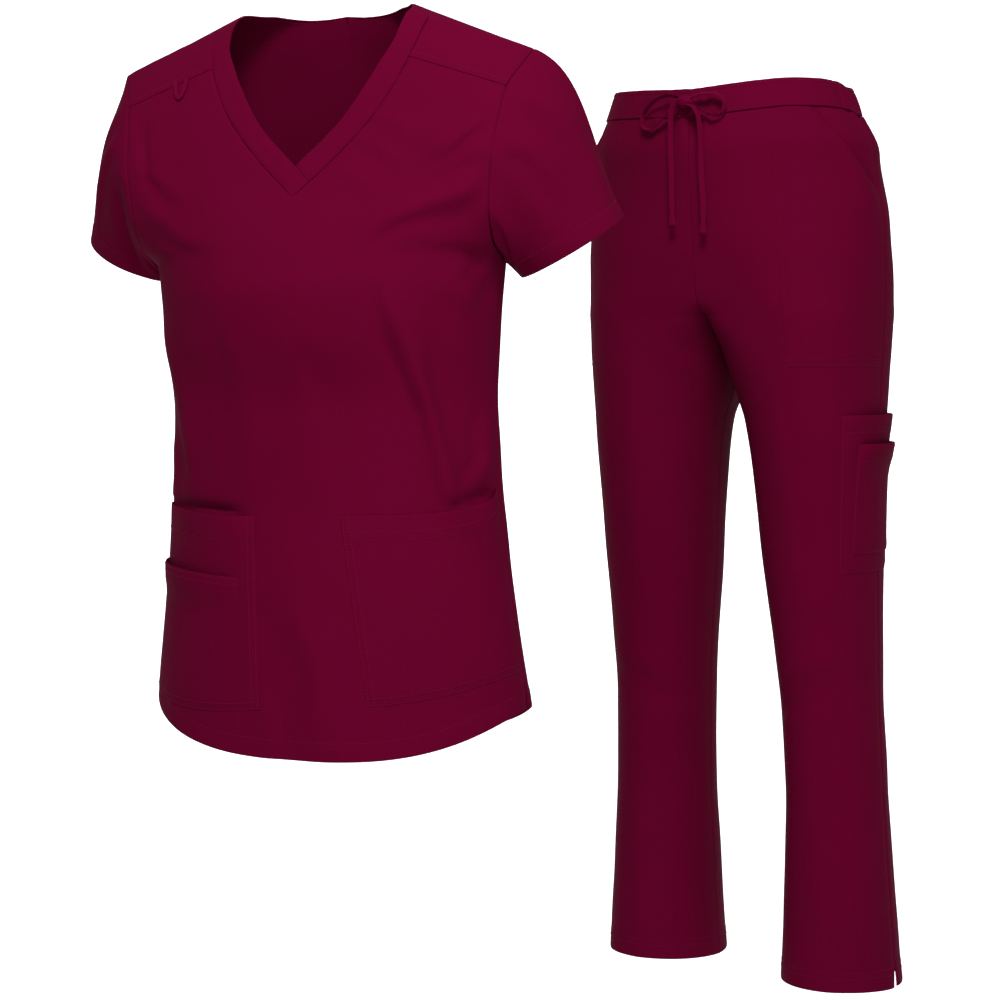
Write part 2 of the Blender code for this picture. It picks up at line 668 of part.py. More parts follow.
def make_badge_loop(garment):
    """A small flat loop of cloth that hangs from the right yoke seam."""
    mesh = bmesh.new()
    half_width, drop, opening = 0.0080, 0.0200, 0.0035

    def surface(turn, across):
        angle = math.pi * turn
        radius = half_width - (half_width - opening) * across
        x = BADGE_LOOP[0] + radius * math.cos(angle)
        z = BADGE_LOOP[1] - (drop - (half_width - radius)) * math.sin(angle)
        return lifted(*place_on_front(x, z), LAYER_GAP + CLOTH)

    lay_sheet(mesh, surface, spread(0, 1, 10), [0.0, 1.0])
    return cloth_piece("badge_loop", mesh, garment, top_axis)


# ----------------------------------------------------------- the trousers

def leg_row(height):
    return row_at(LEG_ROWS, height, falling=True)


def stance_shift(side, height):
    """The left leg stands a little in front of the right one."""
    share = smoothstep((STANCE_TOP - height) / (STANCE_TOP - TROUSER_HEM))
    return -side * STANCE * share


def waist_tilt(angle, front, height):
    """The waist dips in front and rises behind; the tilt fades out below it."""
    fade = 1 - smoothstep((WAIST_SEAM - height) / DIP_FADE)
    return (FRONT_DIP if front else BACK_RISE) * math.sin(angle) * fade


def hem_tilt(side, angle, front, height):
    """The hem rises over the instep and drops at the heel; this fades out above it."""
    low = smoothstep((-0.85 - height) / (-0.85 - TROUSER_HEM))
    tilt = (INSTEP_RISE if front else HEEL_DROP) * math.sin(angle) * low
    if side < 0:
        tilt += RIGHT_LIFT * smoothstep((STANCE_TOP - height) / (STANCE_TOP - TROUSER_HEM))
    return tilt


def last_angle(row):
    """The angle at which a leg's ring meets the middle plane, or half a turn."""
    reach = (SEAM_GAP / 2 - row.leg_x) / row.half_width
    return math.pi if reach <= -1 else math.acos(reach)


def ring_depth(angle, height, front):
    """The share of its full depth that a leg's ring has at this angle."""
    if angle <= math.pi / 2:
        return max(math.sin(angle), 0.0)
    full = smoothstep((FULL_TOP - height) / (FULL_TOP - CROTCH))
    full *= math.exp(min(height - CROTCH, 0.0) / FULL_FADE)
    power = 2 + ((FRONT_FULLNESS if front else BACK_FULLNESS) - 2) * full
    return max(1 - abs(math.cos(angle)) ** power, 0.0) ** (1 / power)


def leg_point(side, front, angle, height, proud=0.0):
    """A point of a leg, at an angle from its side seam towards the front or the back."""
    row = leg_row(height)
    depth = (row.front if front else row.back) + proud
    face = -1 if front else 1
    x = row.leg_x + (row.half_width + proud) * math.cos(angle)
    reach = depth * ring_depth(angle, height, front)
    y = row.centre_y + stance_shift(side, height) + face * reach
    z = height + waist_tilt(angle, front, height) + hem_tilt(side, angle, front, height)
    return Vector((side * x, y, z))


def leg_surface(side, front):
    face = -1 if front else 1

    def surface(across, height):
        angle = last_angle(leg_row(height)) * across
        point = leg_point(side, front, angle, height)
        vent = smoothstep((TROUSER_HEM + ANKLE_VENT - height) / ANKLE_VENT)
        at_side = 1 - smoothstep(across * 5)
        point.y += face * (SEAM_GAP / 2 + VENT_OPENING * vent * at_side)
        return point

    return surface


def leg_axis(side):
    def axis(point):
        row = leg_row(min(point.z, WAIST_SEAM))
        return Vector((side * row.leg_x, row.centre_y, point.z))

    return axis


def make_leg_panel(garment, side, front):
    mesh = bmesh.new()
    rows = spread(WAIST_SEAM - SEAM_GAP / 2, -0.210, 4) + spread(-0.210, CROTCH, 5)[1:]
    rows += [-0.290, -0.306, -0.328, -0.356] + spread(-0.390, TROUSER_HEM, 11)
    lay_sheet(mesh, leg_surface(side, front), spread(0, 1, LEG_COLUMNS), rows)
    name = "trouser_{}_{}".format("front" if front else "back", side_name(side))
    return cloth_piece(name, mesh, garment, leg_axis(side))


def waist_point(turn, rise, proud):
    """A point of the waistband: turn in degrees from the left side towards the front."""
    row = leg_row(WAIST_SEAM)
    angle = math.radians(turn)
    taper = BAND_TOP_TAPER * rise
    front = math.sin(angle) > 0
    depth = (row.front if front else row.back) - taper + proud
    x = (row.half_width - taper + proud) * math.cos(angle)
    y = row.centre_y - depth * math.sin(angle)
    tilt = waist_tilt(abs(angle), front, WAIST_SEAM) if front else BACK_RISE * abs(math.sin(angle))
    return Vector((x, y, WAIST_SEAM + SEAM_GAP / 2 + tilt + BAND_HEIGHT * rise))


def make_waistband_front(garment):
    mesh = bmesh.new()
    edge = math.degrees(SEAM_GAP / 2 / LEG_ROWS[0].half_width)
    turns = spread(ELASTIC_START + edge, 180 - ELASTIC_START - edge, 20)

    def surface(turn, rise):
        return waist_point(turn, rise, BAND_PROUD)

    lay_sheet(mesh, surface, turns, [0.0, 0.5, 1.0])
    return cloth_piece("waistband_front", mesh, garment, leg_axis(0), DOUBLE_CLOTH)


def make_waistband_back(garment):
    """The elastic part, gathered into ripples that run round the back."""
    mesh = bmesh.new()
    edge = math.degrees(SEAM_GAP / 2 / LEG_ROWS[0].half_width)
    start = 180 - ELASTIC_START + edge
    end = 360 + ELASTIC_START - edge
    steps = 2 * GATHERS

    def surface(step, rise):
        ripple = GATHER_DEPTH * (0.5 if step % 2 else -0.5)
        if step in (0, steps):
            ripple = 0.0
        turn = start + (end - start) * step / steps
        return waist_point(turn, rise, BAND_PROUD + ripple)

    lay_sheet(mesh, surface, range(steps + 1), [0.0, 0.5, 1.0])
    return cloth_piece("waistband_back", mesh, garment, leg_axis(0), DOUBLE_CLOTH)


def front_angle(x, height):
    """The angle round the leg at which its front is the distance x from the middle."""
    row = leg_row(height)
    return math.acos(min(max((x - row.leg_x) / row.half_width, -1.0), 1.0))


def make_hip_pocket(garment, side):
    """A patch from the waist seam down, whose outer top corner is cut off by the mouth."""
    top = WAIST_SEAM - 2 * SEAM_GAP
    proud = HIP_POCKET_GAP + CLOTH
    at_seam = math.radians(2)
    mesh = bmesh.new()

    def surface(over, fall):
        slant = max(0.0, (over - HIP_SLASH_SHARE) / (1 - HIP_SLASH_SHARE))
        start = top + (HIP_SLASH_END - top) * (1 - (1 - slant) ** 1.5)
        height = start + (HIP_POCKET_BOTTOM - start) * fall
        depth = (top - height) / (top - HIP_POCKET_BOTTOM)
        inner_x = HIP_POCKET_INNER[0] + (HIP_POCKET_INNER[1] - HIP_POCKET_INNER[0]) * depth
        angle = front_angle(inner_x, height) * (1 - over) + at_seam * over
        gape = HIP_MOUTH * math.sin(math.pi * slant) ** 2 * (1 - smoothstep(fall / 0.4))
        return leg_point(side, True, angle, height, proud + gape)

    across = spread(0, HIP_SLASH_SHARE, 3) + spread(HIP_SLASH_SHARE, 1, 6)[1:]
    lay_sheet(mesh, surface, across, spread(0, 1, 14))
    return cloth_piece("hip_pocket_" + side_name(side), mesh, garment, leg_axis(side))


def make_cargo_pocket(garment, name, shape, layer):
    """A pocket that wraps round the side seam of the left leg."""
    mesh = bmesh.new()
    proud = layer * (LAYER_GAP + CLOTH)

    def surface(over, height):
        fall = (shape.top - height) / (shape.top - shape.bottom)
        front_edge = shape.front_top + (shape.front_bottom - shape.front_top) * fall
        turn = front_edge * over if over > 0 else shape.back * over
        angle = math.radians(abs(turn))
        gape = shape.mouth * (1 - smoothstep(fall / 0.35)) * math.cos(math.radians(turn)) ** 4
        return leg_point(1, turn >= 0, angle, height, proud + gape)

    lay_sheet(mesh, surface, spread(-1, 0, 5) + spread(0, 1, 5)[1:], spread(shape.top, shape.bottom, 7))
    return cloth_piece(name, mesh, garment, leg_axis(1))


def make_knot(garment):
    mesh = bmesh.new()
    bmesh.ops.create_uvsphere(mesh, u_segments=12, v_segments=8, radius=1.0)
    for vert in mesh.verts:
        vert.co = Vector(c * s for c, s in zip(vert.co, KNOT_SIZE)) + KNOT_CENTRE
    data = bpy.data.meshes.new("drawstring_knot")
    mesh.to_mesh(data)
    mesh.free()
    data.shade_smooth()
    knot = bpy.data.objects.new("drawstring_knot", data)
    bpy.context.scene.collection.objects.link(knot)
    knot.parent = garment
    data.materials.append(cloth_material("drawstring_knot", WINE_CORD, CORD_ROUGHNESS))
    return knot


def make_cord(garment, name, route):
    """A free stretch of the drawstring, as a tube along its route."""
    curve = bpy.data.curves.new(name, "CURVE")
    curve.dimensions = "3D"
    curve.bevel_depth = CORD_DIAMETER / 2
    curve.bevel_resolution = 2
    curve.use_fill_caps = True
    line = curve.splines.new("POLY")
    line.points.add(len(route) - 1)
    for point, place in zip(line.points, route):
        point.co = (*place, 1.0)
    curve.materials.append(cloth_material(name, WINE_CORD, CORD_ROUGHNESS))
    cord = bpy.data.objects.new(name, curve)
    bpy.context.scene.collection.objects.link(cord)
    cord.parent = garment
    return cord


# ------------------------------------------------------------- both garments

def make_garment(name, place, yaw, lean):
    """An empty that places and turns a whole garment."""
    garment = bpy.data.objects.new(name, None)
    garment.location = place
    garment.rotation_mode = "ZYX"
    garment.rotation_euler = (0.0, lean, yaw)
    bpy.context.scene.collection.objects.link(garment)
    return garment


def make_top():
    top = make_garment("top", TOP_PLACE, TOP_YAW, TOP_LEAN)
    make_top_front(top)
    make_top_back(top)
    for side in (1, -1):
        make_yoke(top, side)
        make_neck_band(top, side)
        make_sleeve(top, side)
    make_patch(top, "top_pocket_left", LEFT_POCKET, 1, 1, 7, 8)
    make_patch(top, "top_pocket_right", RIGHT_POCKET, -1, 1, 7, 8)
    make_patch(top, "top_pocket_right_slot", RIGHT_SLOT, -1, 2, 7, 6)
    make_badge_loop(top)


def make_trousers():
    trousers = make_garment("trousers", TROUSERS_PLACE, TROUSERS_YAW, 0.0)
    for side in (1, -1):
        for front in (True, False):
            make_leg_panel(trousers, side, front)
        make_hip_pocket(trousers, side)
    make_waistband_front(trousers)
    make_waistband_back(trousers)
    make_cargo_pocket(trousers, "cargo_pocket", CARGO, 1)
    make_cargo_pocket(trousers, "cargo_pocket_small", SMALL_CARGO, 2)
    make_knot(trousers)
    for name, route in CORD_ROUTES.items():
        make_cord(trousers, name, route)


def main():
    clear_scene()
    make_top()
    make_trousers()
    bpy.context.view_layer.update()


main()
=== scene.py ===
"""Medical scrubs: a V-neck top and drawstring trousers, dressed over their solids.

It is laid out as an add-on and run as a script. Every sewn piece is a thin
shell of twill on the form of its solid, with its seams, hems, creases, gathers
and rows of stitches.
"""

import functools
import math
from collections import namedtuple

import bmesh
import bpy
from bpy.props import FloatProperty, FloatVectorProperty, PointerProperty
from mathutils import Euler, Matrix, Vector, noise


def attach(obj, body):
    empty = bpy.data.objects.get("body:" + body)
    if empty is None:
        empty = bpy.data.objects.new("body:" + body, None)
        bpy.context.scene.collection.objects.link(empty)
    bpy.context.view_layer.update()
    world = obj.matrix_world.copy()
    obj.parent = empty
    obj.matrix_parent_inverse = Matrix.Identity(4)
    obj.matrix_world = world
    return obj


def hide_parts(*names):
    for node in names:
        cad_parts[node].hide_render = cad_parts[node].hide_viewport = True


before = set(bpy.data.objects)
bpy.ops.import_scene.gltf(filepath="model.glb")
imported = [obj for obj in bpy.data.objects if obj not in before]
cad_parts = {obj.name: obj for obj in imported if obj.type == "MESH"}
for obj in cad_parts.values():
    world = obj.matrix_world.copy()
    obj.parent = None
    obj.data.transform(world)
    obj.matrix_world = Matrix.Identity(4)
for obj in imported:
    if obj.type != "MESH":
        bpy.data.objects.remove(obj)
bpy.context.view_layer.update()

bl_info = {
    "name": "Medical Scrubs",
    "version": (1, 0, 0),
    "blender": (4, 5, 0),
    "location": "3D View > Sidebar > Scrubs",
    "description": "Sews a V-neck top and drawstring trousers from twill",
    "category": "Add Mesh",
}


def named_rows(kind, *rows):
    """A table whose rows have the named columns of this kind."""
    return tuple(kind(*row) for row in rows)


# ------------------------------------------------------------------ pattern
# All sizes are in metres. The rows, neckline, legs and routes are those of the
# solids.

TOP_TURN = Euler((0.0, math.radians(-1.3), math.radians(-17.5)), "ZYX")
TROUSERS_TURN = Euler((0.0, 0.0, math.radians(-30.0)), "ZYX")
TOP = TOP_TURN.to_matrix().to_4x4()
TROUSERS = Matrix.Translation((0.427, 0.32, 0.0)) @ TROUSERS_TURN.to_matrix().to_4x4()

PanelRow = namedtuple("PanelRow", "down side_x side_y side_z middle_y middle_z wrap bow")
TOP_FRONT = named_rows(
    PanelRow,
    (0.000, 0.204, 0.000, -0.046, -0.013, 0.0225, 20, 1.0),
    (0.030, 0.196, -0.018, -0.062, -0.030, 0.004, 28, 1.0),
    (0.062, 0.187, -0.036, -0.083, -0.042, -0.019, 32, 1.0),
    (0.100, 0.182, -0.050, -0.115, -0.056, -0.063, 32, 1.2),
    (0.140, 0.178, -0.060, -0.150, -0.071, -0.117, 30, 1.5),
    (0.185, 0.175, -0.058, -0.190, -0.088, -0.170, 24, 2.0),
    (0.220, 0.172, -0.036, -0.222, -0.106, -0.210, 12, 2.0),
    (0.245, 0.169, 0.000, -0.237, -0.115, -0.233, 0, 2.0),
    (0.272, 0.166, 0.000, -0.262, -0.121, -0.262, 0, 2.0),
    (0.305, 0.1632, 0.000, -0.295, -0.118, -0.296, 0, 2.0),
    (0.380, 0.1592, 0.000, -0.370, -0.103, -0.371, 0, 2.0),
    (0.460, 0.1622, 0.000, -0.450, -0.105, -0.452, 0, 2.0),
    (0.570, 0.1725, 0.000, -0.558, -0.114, -0.568, 0, 2.3),
    (0.665, 0.184, 0.000, -0.645, -0.120, -0.684, 0, 3.2),
)
TOP_BACK = named_rows(
    PanelRow,
    (0.000, 0.204, 0.000, -0.046, -0.013, 0.0225, 20, 1.0),
    (0.018, 0.203, 0.010, -0.047, 0.010, 0.039, 25, 1.0),
    (0.040, 0.199, 0.022, -0.053, 0.036, 0.034, 28, 1.0),
    (0.060, 0.194, 0.031, -0.064, 0.053, 0.022, 30, 1.0),
    (0.080, 0.189, 0.038, -0.079, 0.061, -0.004, 32, 1.1),
    (0.115, 0.183, 0.048, -0.110, 0.075, -0.052, 32, 1.3),
    (0.155, 0.178, 0.057, -0.150, 0.088, -0.115, 30, 1.5),
    (0.195, 0.175, 0.056, -0.190, 0.097, -0.170, 24, 2.0),
    (0.224, 0.172, 0.036, -0.222, 0.103, -0.210, 12, 2.0),
    (0.245, 0.169, 0.000, -0.237, 0.105, -0.233, 0, 2.0),
    (0.272, 0.166, 0.000, -0.262, 0.106, -0.262, 0, 2.0),
    (0.305, 0.1632, 0.000, -0.295, 0.104, -0.296, 0, 2.0),
    (0.380, 0.1592, 0.000, -0.370, 0.093, -0.371, 0, 2.0),
    (0.460, 0.1622, 0.000, -0.450, 0.100, -0.452, 0, 2.0),
    (0.570, 0.1725, 0.000, -0.558, 0.109, -0.568, 0, 2.3),
    (0.665, 0.184, 0.000, -0.645, 0.116, -0.690, 0, 3.2),
)
UNDERARM_DOWN = 0.245
YOKE_DOWN = UNDERARM_DOWN / 4
HEM_DOWN = 0.665
HEM_SWING = 0.030
VENT_HEIGHT = 0.035
VENT_OPENING = 0.004

NeckRow = namedtuple("NeckRow", "height half_width")
NECK_EDGE = named_rows(
    NeckRow,
    (-0.0068, 0.0860),
    (-0.0290, 0.0830),
    (-0.0580, 0.0700),
    (-0.0750, 0.0610),
    (-0.1080, 0.0400),
    (-0.1490, 0.0000),
)
BAND_EDGE = named_rows(
    NeckRow,
    (-0.0136, 0.1060),
    (-0.0340, 0.1020),
    (-0.0660, 0.0910),
    (-0.1040, 0.0700),
    (-0.1420, 0.0370),
    (-0.1770, 0.0000),
)
LAP_END = (0.0145, -0.1637)
BackNeckRow = namedtuple("BackNeckRow", "down half_width")
BACK_NECK = named_rows(
    BackNeckRow,
    (0.000, 0.0860),
    (0.010, 0.0870),
    (0.020, 0.0820),
    (0.031, 0.0750),
    (0.042, 0.0650),
    (0.052, 0.0550),
    (0.063, 0.0400),
    (0.071, 0.0200),
    (0.075, 0.0000),
)

SleeveShape = namedtuple("SleeveShape", "cuff_centre cuff_upwards cuff_half_depth cap flank")
SLEEVES = {
    1: SleeveShape(Vector((0.2285, 0.026, -0.225)), Vector((0.0430, 0.010, 0.0330)),
                   0.052, 0.80, 0.3),
    -1: SleeveShape(Vector((0.2173, 0.030, -0.2195)), Vector((0.0375, 0.006, 0.0480)),
                    0.034, 0.10, 0.78),
}
ARMHOLE_CENTRE = Vector((0.185, 0.0, -0.140))

# A pocket's corners on the front, and where along its mouth it gapes, over what reach
# and how far, and how far the mouth sags.
PatchCorners = namedtuple("PatchCorners", "top_inner top_outer low_inner low_outer")
Mouth = namedtuple("Mouth", "middle reach gape sag")
LEFT_POCKET = PatchCorners((0.042, -0.464), (0.1612, -0.4455), (0.066, -0.636), (0.1785, -0.616))
RIGHT_POCKET = PatchCorners((0.041, -0.464), (0.158, -0.456), (0.035, -0.640), (0.176, -0.636))
RIGHT_SLOT = PatchCorners((0.055, -0.520), (0.161, -0.509), (0.040, -0.639), (0.176, -0.635))
LEFT_MOUTH = Mouth(0.86, 0.14, 0.0060, 0.0085)
RIGHT_MOUTH = Mouth(0.30, 0.32, 0.0055, 0.0)
SLOT_MOUTH = Mouth(0.55, 0.50, 0.0045, 0.0)
BADGE_LOOP = (-0.129, -0.0600)

LegRow = namedtuple("LegRow", "height leg_x half_width front back centre_y")
LEG_ROWS = named_rows(
    LegRow,
    (-0.0700, 0.0000, 0.1360, 0.1080, 0.0980, -0.030),
    (-0.1100, 0.0000, 0.1550, 0.1170, 0.1220, -0.024),
    (-0.1600, 0.0060, 0.1560, 0.1175, 0.1292, -0.017),
    (-0.2100, 0.0300, 0.1360, 0.1165, 0.1245, -0.014),
    (-0.2400, 0.0500, 0.1162, 0.1140, 0.1215, -0.011),
    (-0.2640, 0.0680, 0.0973, 0.1105, 0.1185, -0.010),
    (-0.2800, 0.0822, 0.0822, 0.1080, 0.1160, -0.009),
    (-0.3250, 0.0820, 0.0807, 0.1045, 0.1080, -0.008),
    (-0.3600, 0.0848, 0.0763, 0.0990, 0.1015, -0.008),
    (-0.3900, 0.0886, 0.0711, 0.0940, 0.0960, -0.008),
    (-0.4400, 0.0916, 0.0671, 0.0880, 0.0905, -0.005),
    (-0.5400, 0.0940, 0.0615, 0.0780, 0.0800, 0.004),
    (-0.6300, 0.0980, 0.0560, 0.0695, 0.0720, 0.014),
    (-0.7030, 0.1010, 0.0530, 0.0650, 0.0680, 0.021),
    (-0.7800, 0.1040, 0.0530, 0.0655, 0.0680, 0.028),
    (-0.8700, 0.1060, 0.0560, 0.0710, 0.0730, 0.033),
    (-1.0000, 0.1080, 0.0630, 0.0790, 0.0800, 0.040),
)
WAIST_SEAM = -0.070
CROTCH = -0.280
FRONT_FULLNESS = 8.0
BACK_FULLNESS = 3.0
FULL_TOP = -0.190
FULL_FADE = 0.018
TROUSER_HEM = -1.000
STANCE = 0.007
STANCE_TOP = -0.350
FRONT_DIP = -0.007
BACK_RISE = 0.013
DIP_FADE = 0.130
ANKLE_VENT = 0.035
INSTEP_RISE = 0.006
HEEL_DROP = -0.002
RIGHT_LIFT = 0.004

BAND_HEIGHT = 0.0288
BAND_TOP_TAPER = 0.003
HIP_SWELL = 0.0034
BAND_PROUD = 0.0012
ELASTIC_START = 16.0
GATHERS = 34

HIP_POCKET_INNER = (0.080, 0.098)
HIP_POCKET_BOTTOM = -0.333
HIP_SLASH_SHARE = 0.4
HIP_MOUTH = 0.006
HIP_SLASH_END = -0.150
CargoShape = namedtuple("CargoShape", "front_top front_bottom back top bottom mouth")
CARGO = CargoShape(41.0, 49.0, 48.0, -0.382, -0.548, 0.0065)
SMALL_CARGO = CargoShape(28.0, 36.0, 42.0, -0.412, -0.528, 0.0090)

KNOT_CENTRE = Vector((-0.002, -0.1460, -0.0620))
KNOT_SIZE = Vector((0.0098, 0.0050, 0.0056))
CordRoute = namedtuple("CordRoute", "node far_end lay turn_start turn_end points")
CORD_ROUTES = (
    CordRoute("drawstring_end_right", "bare", "hanging", 50, 8, (
        (-0.0035, -0.1490, -0.0620), (-0.0080, -0.1520, -0.0622), (-0.0118, -0.1525, -0.0662),
        (-0.0146, -0.1515, -0.0745), (-0.0158, -0.1498, -0.0870), (-0.0162, -0.1488, -0.1010),
        (-0.0163, -0.1480, -0.1160), (-0.0162, -0.1468, -0.1310), (-0.0164, -0.1456, -0.1460),
        (-0.0165, -0.1446, -0.1610), (-0.0160, -0.1438, -0.1880),
    )),
    CordRoute("drawstring_end_left", "bare", "hanging", 74, 12, (
        (0.0010, -0.1490, -0.0650), (0.0070, -0.1520, -0.0665), (0.0125, -0.1528, -0.0702),
        (0.0158, -0.1518, -0.0780), (0.0170, -0.1500, -0.0900), (0.0176, -0.1490, -0.1040),
        (0.0174, -0.1478, -0.1180), (0.0172, -0.1466, -0.1310), (0.0175, -0.1452, -0.1450),
        (0.0181, -0.1440, -0.1600), (0.0184, -0.1432, -0.1770), (0.0178, -0.1428, -0.1970),
    )),
    CordRoute("drawstring_loop_right", "object", "loose", 62, 74, (
        (-0.0090, -0.1465, -0.0570), (-0.0200, -0.1465, -0.0545), (-0.0330, -0.1445, -0.0570),
        (-0.0455, -0.1405, -0.0640), (-0.0540, -0.1375, -0.0745), (-0.0530, -0.1380, -0.0845),
        (-0.0435, -0.1415, -0.0880), (-0.0335, -0.1450, -0.0835), (-0.0230, -0.1475, -0.0745),
        (-0.0110, -0.1475, -0.0660),
    )),
    CordRoute("drawstring_loop_left", "object", "loose", 62, 76, (
        (0.0060, -0.1465, -0.0575), (0.0165, -0.1468, -0.0548), (0.0270, -0.1452, -0.0545),
        (0.0360, -0.1432, -0.0580), (0.0405, -0.1412, -0.0655), (0.0385, -0.1418, -0.0740),
        (0.0320, -0.1438, -0.0775), (0.0245, -0.1462, -0.0750), (0.0165, -0.1478, -0.0705),
        (0.0075, -0.1475, -0.0650),
    )),
)

# Folds that the solids have too: ends as (x, z) on the top, reach and height.
Fold = namedtuple("Fold", "front start end reach height")
TOP_FOLDS = named_rows(
    Fold,
    (True, (0.098, -0.280), (0.112, -0.355), 0.016, 0.0030),
    (True, (0.110, -0.345), (0.138, -0.450), 0.014, 0.0028),
    (True, (0.172, -0.165), (0.098, -0.202), 0.015, 0.0028),
    (True, (0.176, -0.110), (0.130, -0.140), 0.012, 0.0020),
    (True, (-0.166, -0.185), (-0.110, -0.215), 0.015, 0.0024),
    (True, (-0.140, -0.300), (-0.120, -0.400), 0.018, 0.0022),
    (False, (0.165, -0.170), (0.095, -0.230), 0.016, 0.0028),
    (False, (-0.165, -0.165), (-0.100, -0.220), 0.016, 0.0028),
    (False, (0.060, -0.330), (0.085, -0.470), 0.020, 0.0025),
    (False, (-0.050, -0.350), (-0.080, -0.480), 0.020, 0.0025),
)

# Smaller creases: each is a ridge with a trough along its foot, which lies to the
# left when looking from its end back to its start; bow bends its line.
Crease = namedtuple("Crease", "front start end reach height bow")
TOP_CREASES = named_rows(
    Crease,
    (True, (0.094, -0.276), (0.1335, -0.4560), 0.0074, 0.0050, 0.002),
    (True, (0.1600, -0.3800), (0.1530, -0.4330), 0.0066, 0.0030, 0.002),
    (True, (0.126, -0.296), (0.146, -0.390), 0.0110, -0.0016, -0.005),
    (True, (0.080, -0.2040), (0.184, -0.1700), 0.0105, 0.0034, 0.003),
    (True, (0.128, -0.1440), (0.182, -0.1065), 0.0075, 0.0022, 0.002),
    (True, (0.110, -0.1710), (0.178, -0.1380), 0.0075, 0.0014, 0.003),
    (True, (0.152, -0.276), (0.171, -0.226), 0.0070, 0.0022, 0.001),
    (True, (0.158, -0.236), (0.160, -0.272), 0.0110, -0.0028, 0.001),
    (True, (0.074, -0.104), (0.104, -0.124), 0.0060, 0.0010, 0.002),
    (True, (0.060, -0.126), (0.096, -0.150), 0.0065, 0.0012, 0.002),
    (True, (0.040, -0.152), (0.076, -0.178), 0.0080, 0.0010, 0.003),
    (True, (-0.098, -0.226), (-0.168, -0.188), 0.0100, -0.0018, 0.003),
    (True, (-0.177, -0.094), (-0.157, -0.152), 0.0075, -0.0024, 0.002),
    (True, (-0.168, -0.140), (-0.118, -0.170), 0.0090, 0.0014, 0.002),
    (True, (-0.148, -0.300), (-0.118, -0.420), 0.0120, 0.0016, 0.005),
    (True, (-0.146, -0.400), (-0.150, -0.452), 0.0080, 0.0014, 0.002),
    (True, (-0.060, -0.290), (-0.046, -0.420), 0.0180, 0.0012, 0.006),
    (True, (0.010, -0.560), (0.028, -0.680), 0.0160, 0.0016, 0.003),
    (True, (-0.020, -0.580), (-0.012, -0.690), 0.0140, -0.0012, 0.002),
    (True, (0.020, -0.320), (0.050, -0.450), 0.0180, -0.0010, 0.005),
    (False, (0.100, -0.258), (0.160, -0.200), 0.0100, 0.0018, 0.004),
    (False, (-0.096, -0.250), (-0.160, -0.200), 0.0100, 0.0018, 0.004),
    (False, (0.020, -0.340), (0.035, -0.480), 0.0140, -0.0016, 0.005),
    (False, (-0.015, -0.330), (-0.030, -0.490), 0.0150, 0.0018, 0.005),
    (False, (0.120, -0.350), (0.135, -0.460), 0.0120, 0.0020, 0.004),
    (False, (-0.125, -0.350), (-0.135, -0.460), 0.0120, 0.0020, 0.004),
    (False, (0.020, -0.560), (0.040, -0.690), 0.0160, 0.0020, 0.003),
    (False, (-0.050, -0.570), (-0.060, -0.690), 0.0160, -0.0016, 0.003),
)
# Where the front panel tucks in behind the mouth of a pocket; pockets don't follow these.
MOUTH_TUCKS = named_rows(
    Fold,
    (True, (0.1340, -0.4590), (0.1570, -0.4495), 0.0050, -0.0095),
    (True, (-0.062, -0.4600), (-0.148, -0.4545), 0.0042, -0.0055),
)
# On a sleeve: how far round each crease starts and ends, as a share of a turn (0 at the
# top, 0.25 in front, 0.5 under the arm), and how far down, in metres.
SleeveCrease = namedtuple("SleeveCrease", "side start end reach height bow")
SLEEVE_CREASES = named_rows(
    SleeveCrease,
    (1, (0.130, 0.010), (0.060, 0.120), 0.012, 0.0016, 0.004),
    (1, (0.185, 0.020), (0.150, 0.150), 0.012, -0.0014, 0.004),
    (1, (0.240, 0.010), (0.190, 0.100), 0.009, 0.0020, 0.004),
    (1, (0.380, 0.010), (0.430, 0.110), 0.010, 0.0018, 0.004),
    (-1, (0.130, 0.010), (0.070, 0.120), 0.012, 0.0014, 0.004),
    (-1, (0.200, 0.015), (0.160, 0.120), 0.010, 0.0018, 0.004),
    (-1, (0.310, 0.030), (0.360, 0.150), 0.014, -0.0050, 0.002),
    (-1, (0.420, 0.010), (0.450, 0.110), 0.010, 0.0018, 0.004),
)
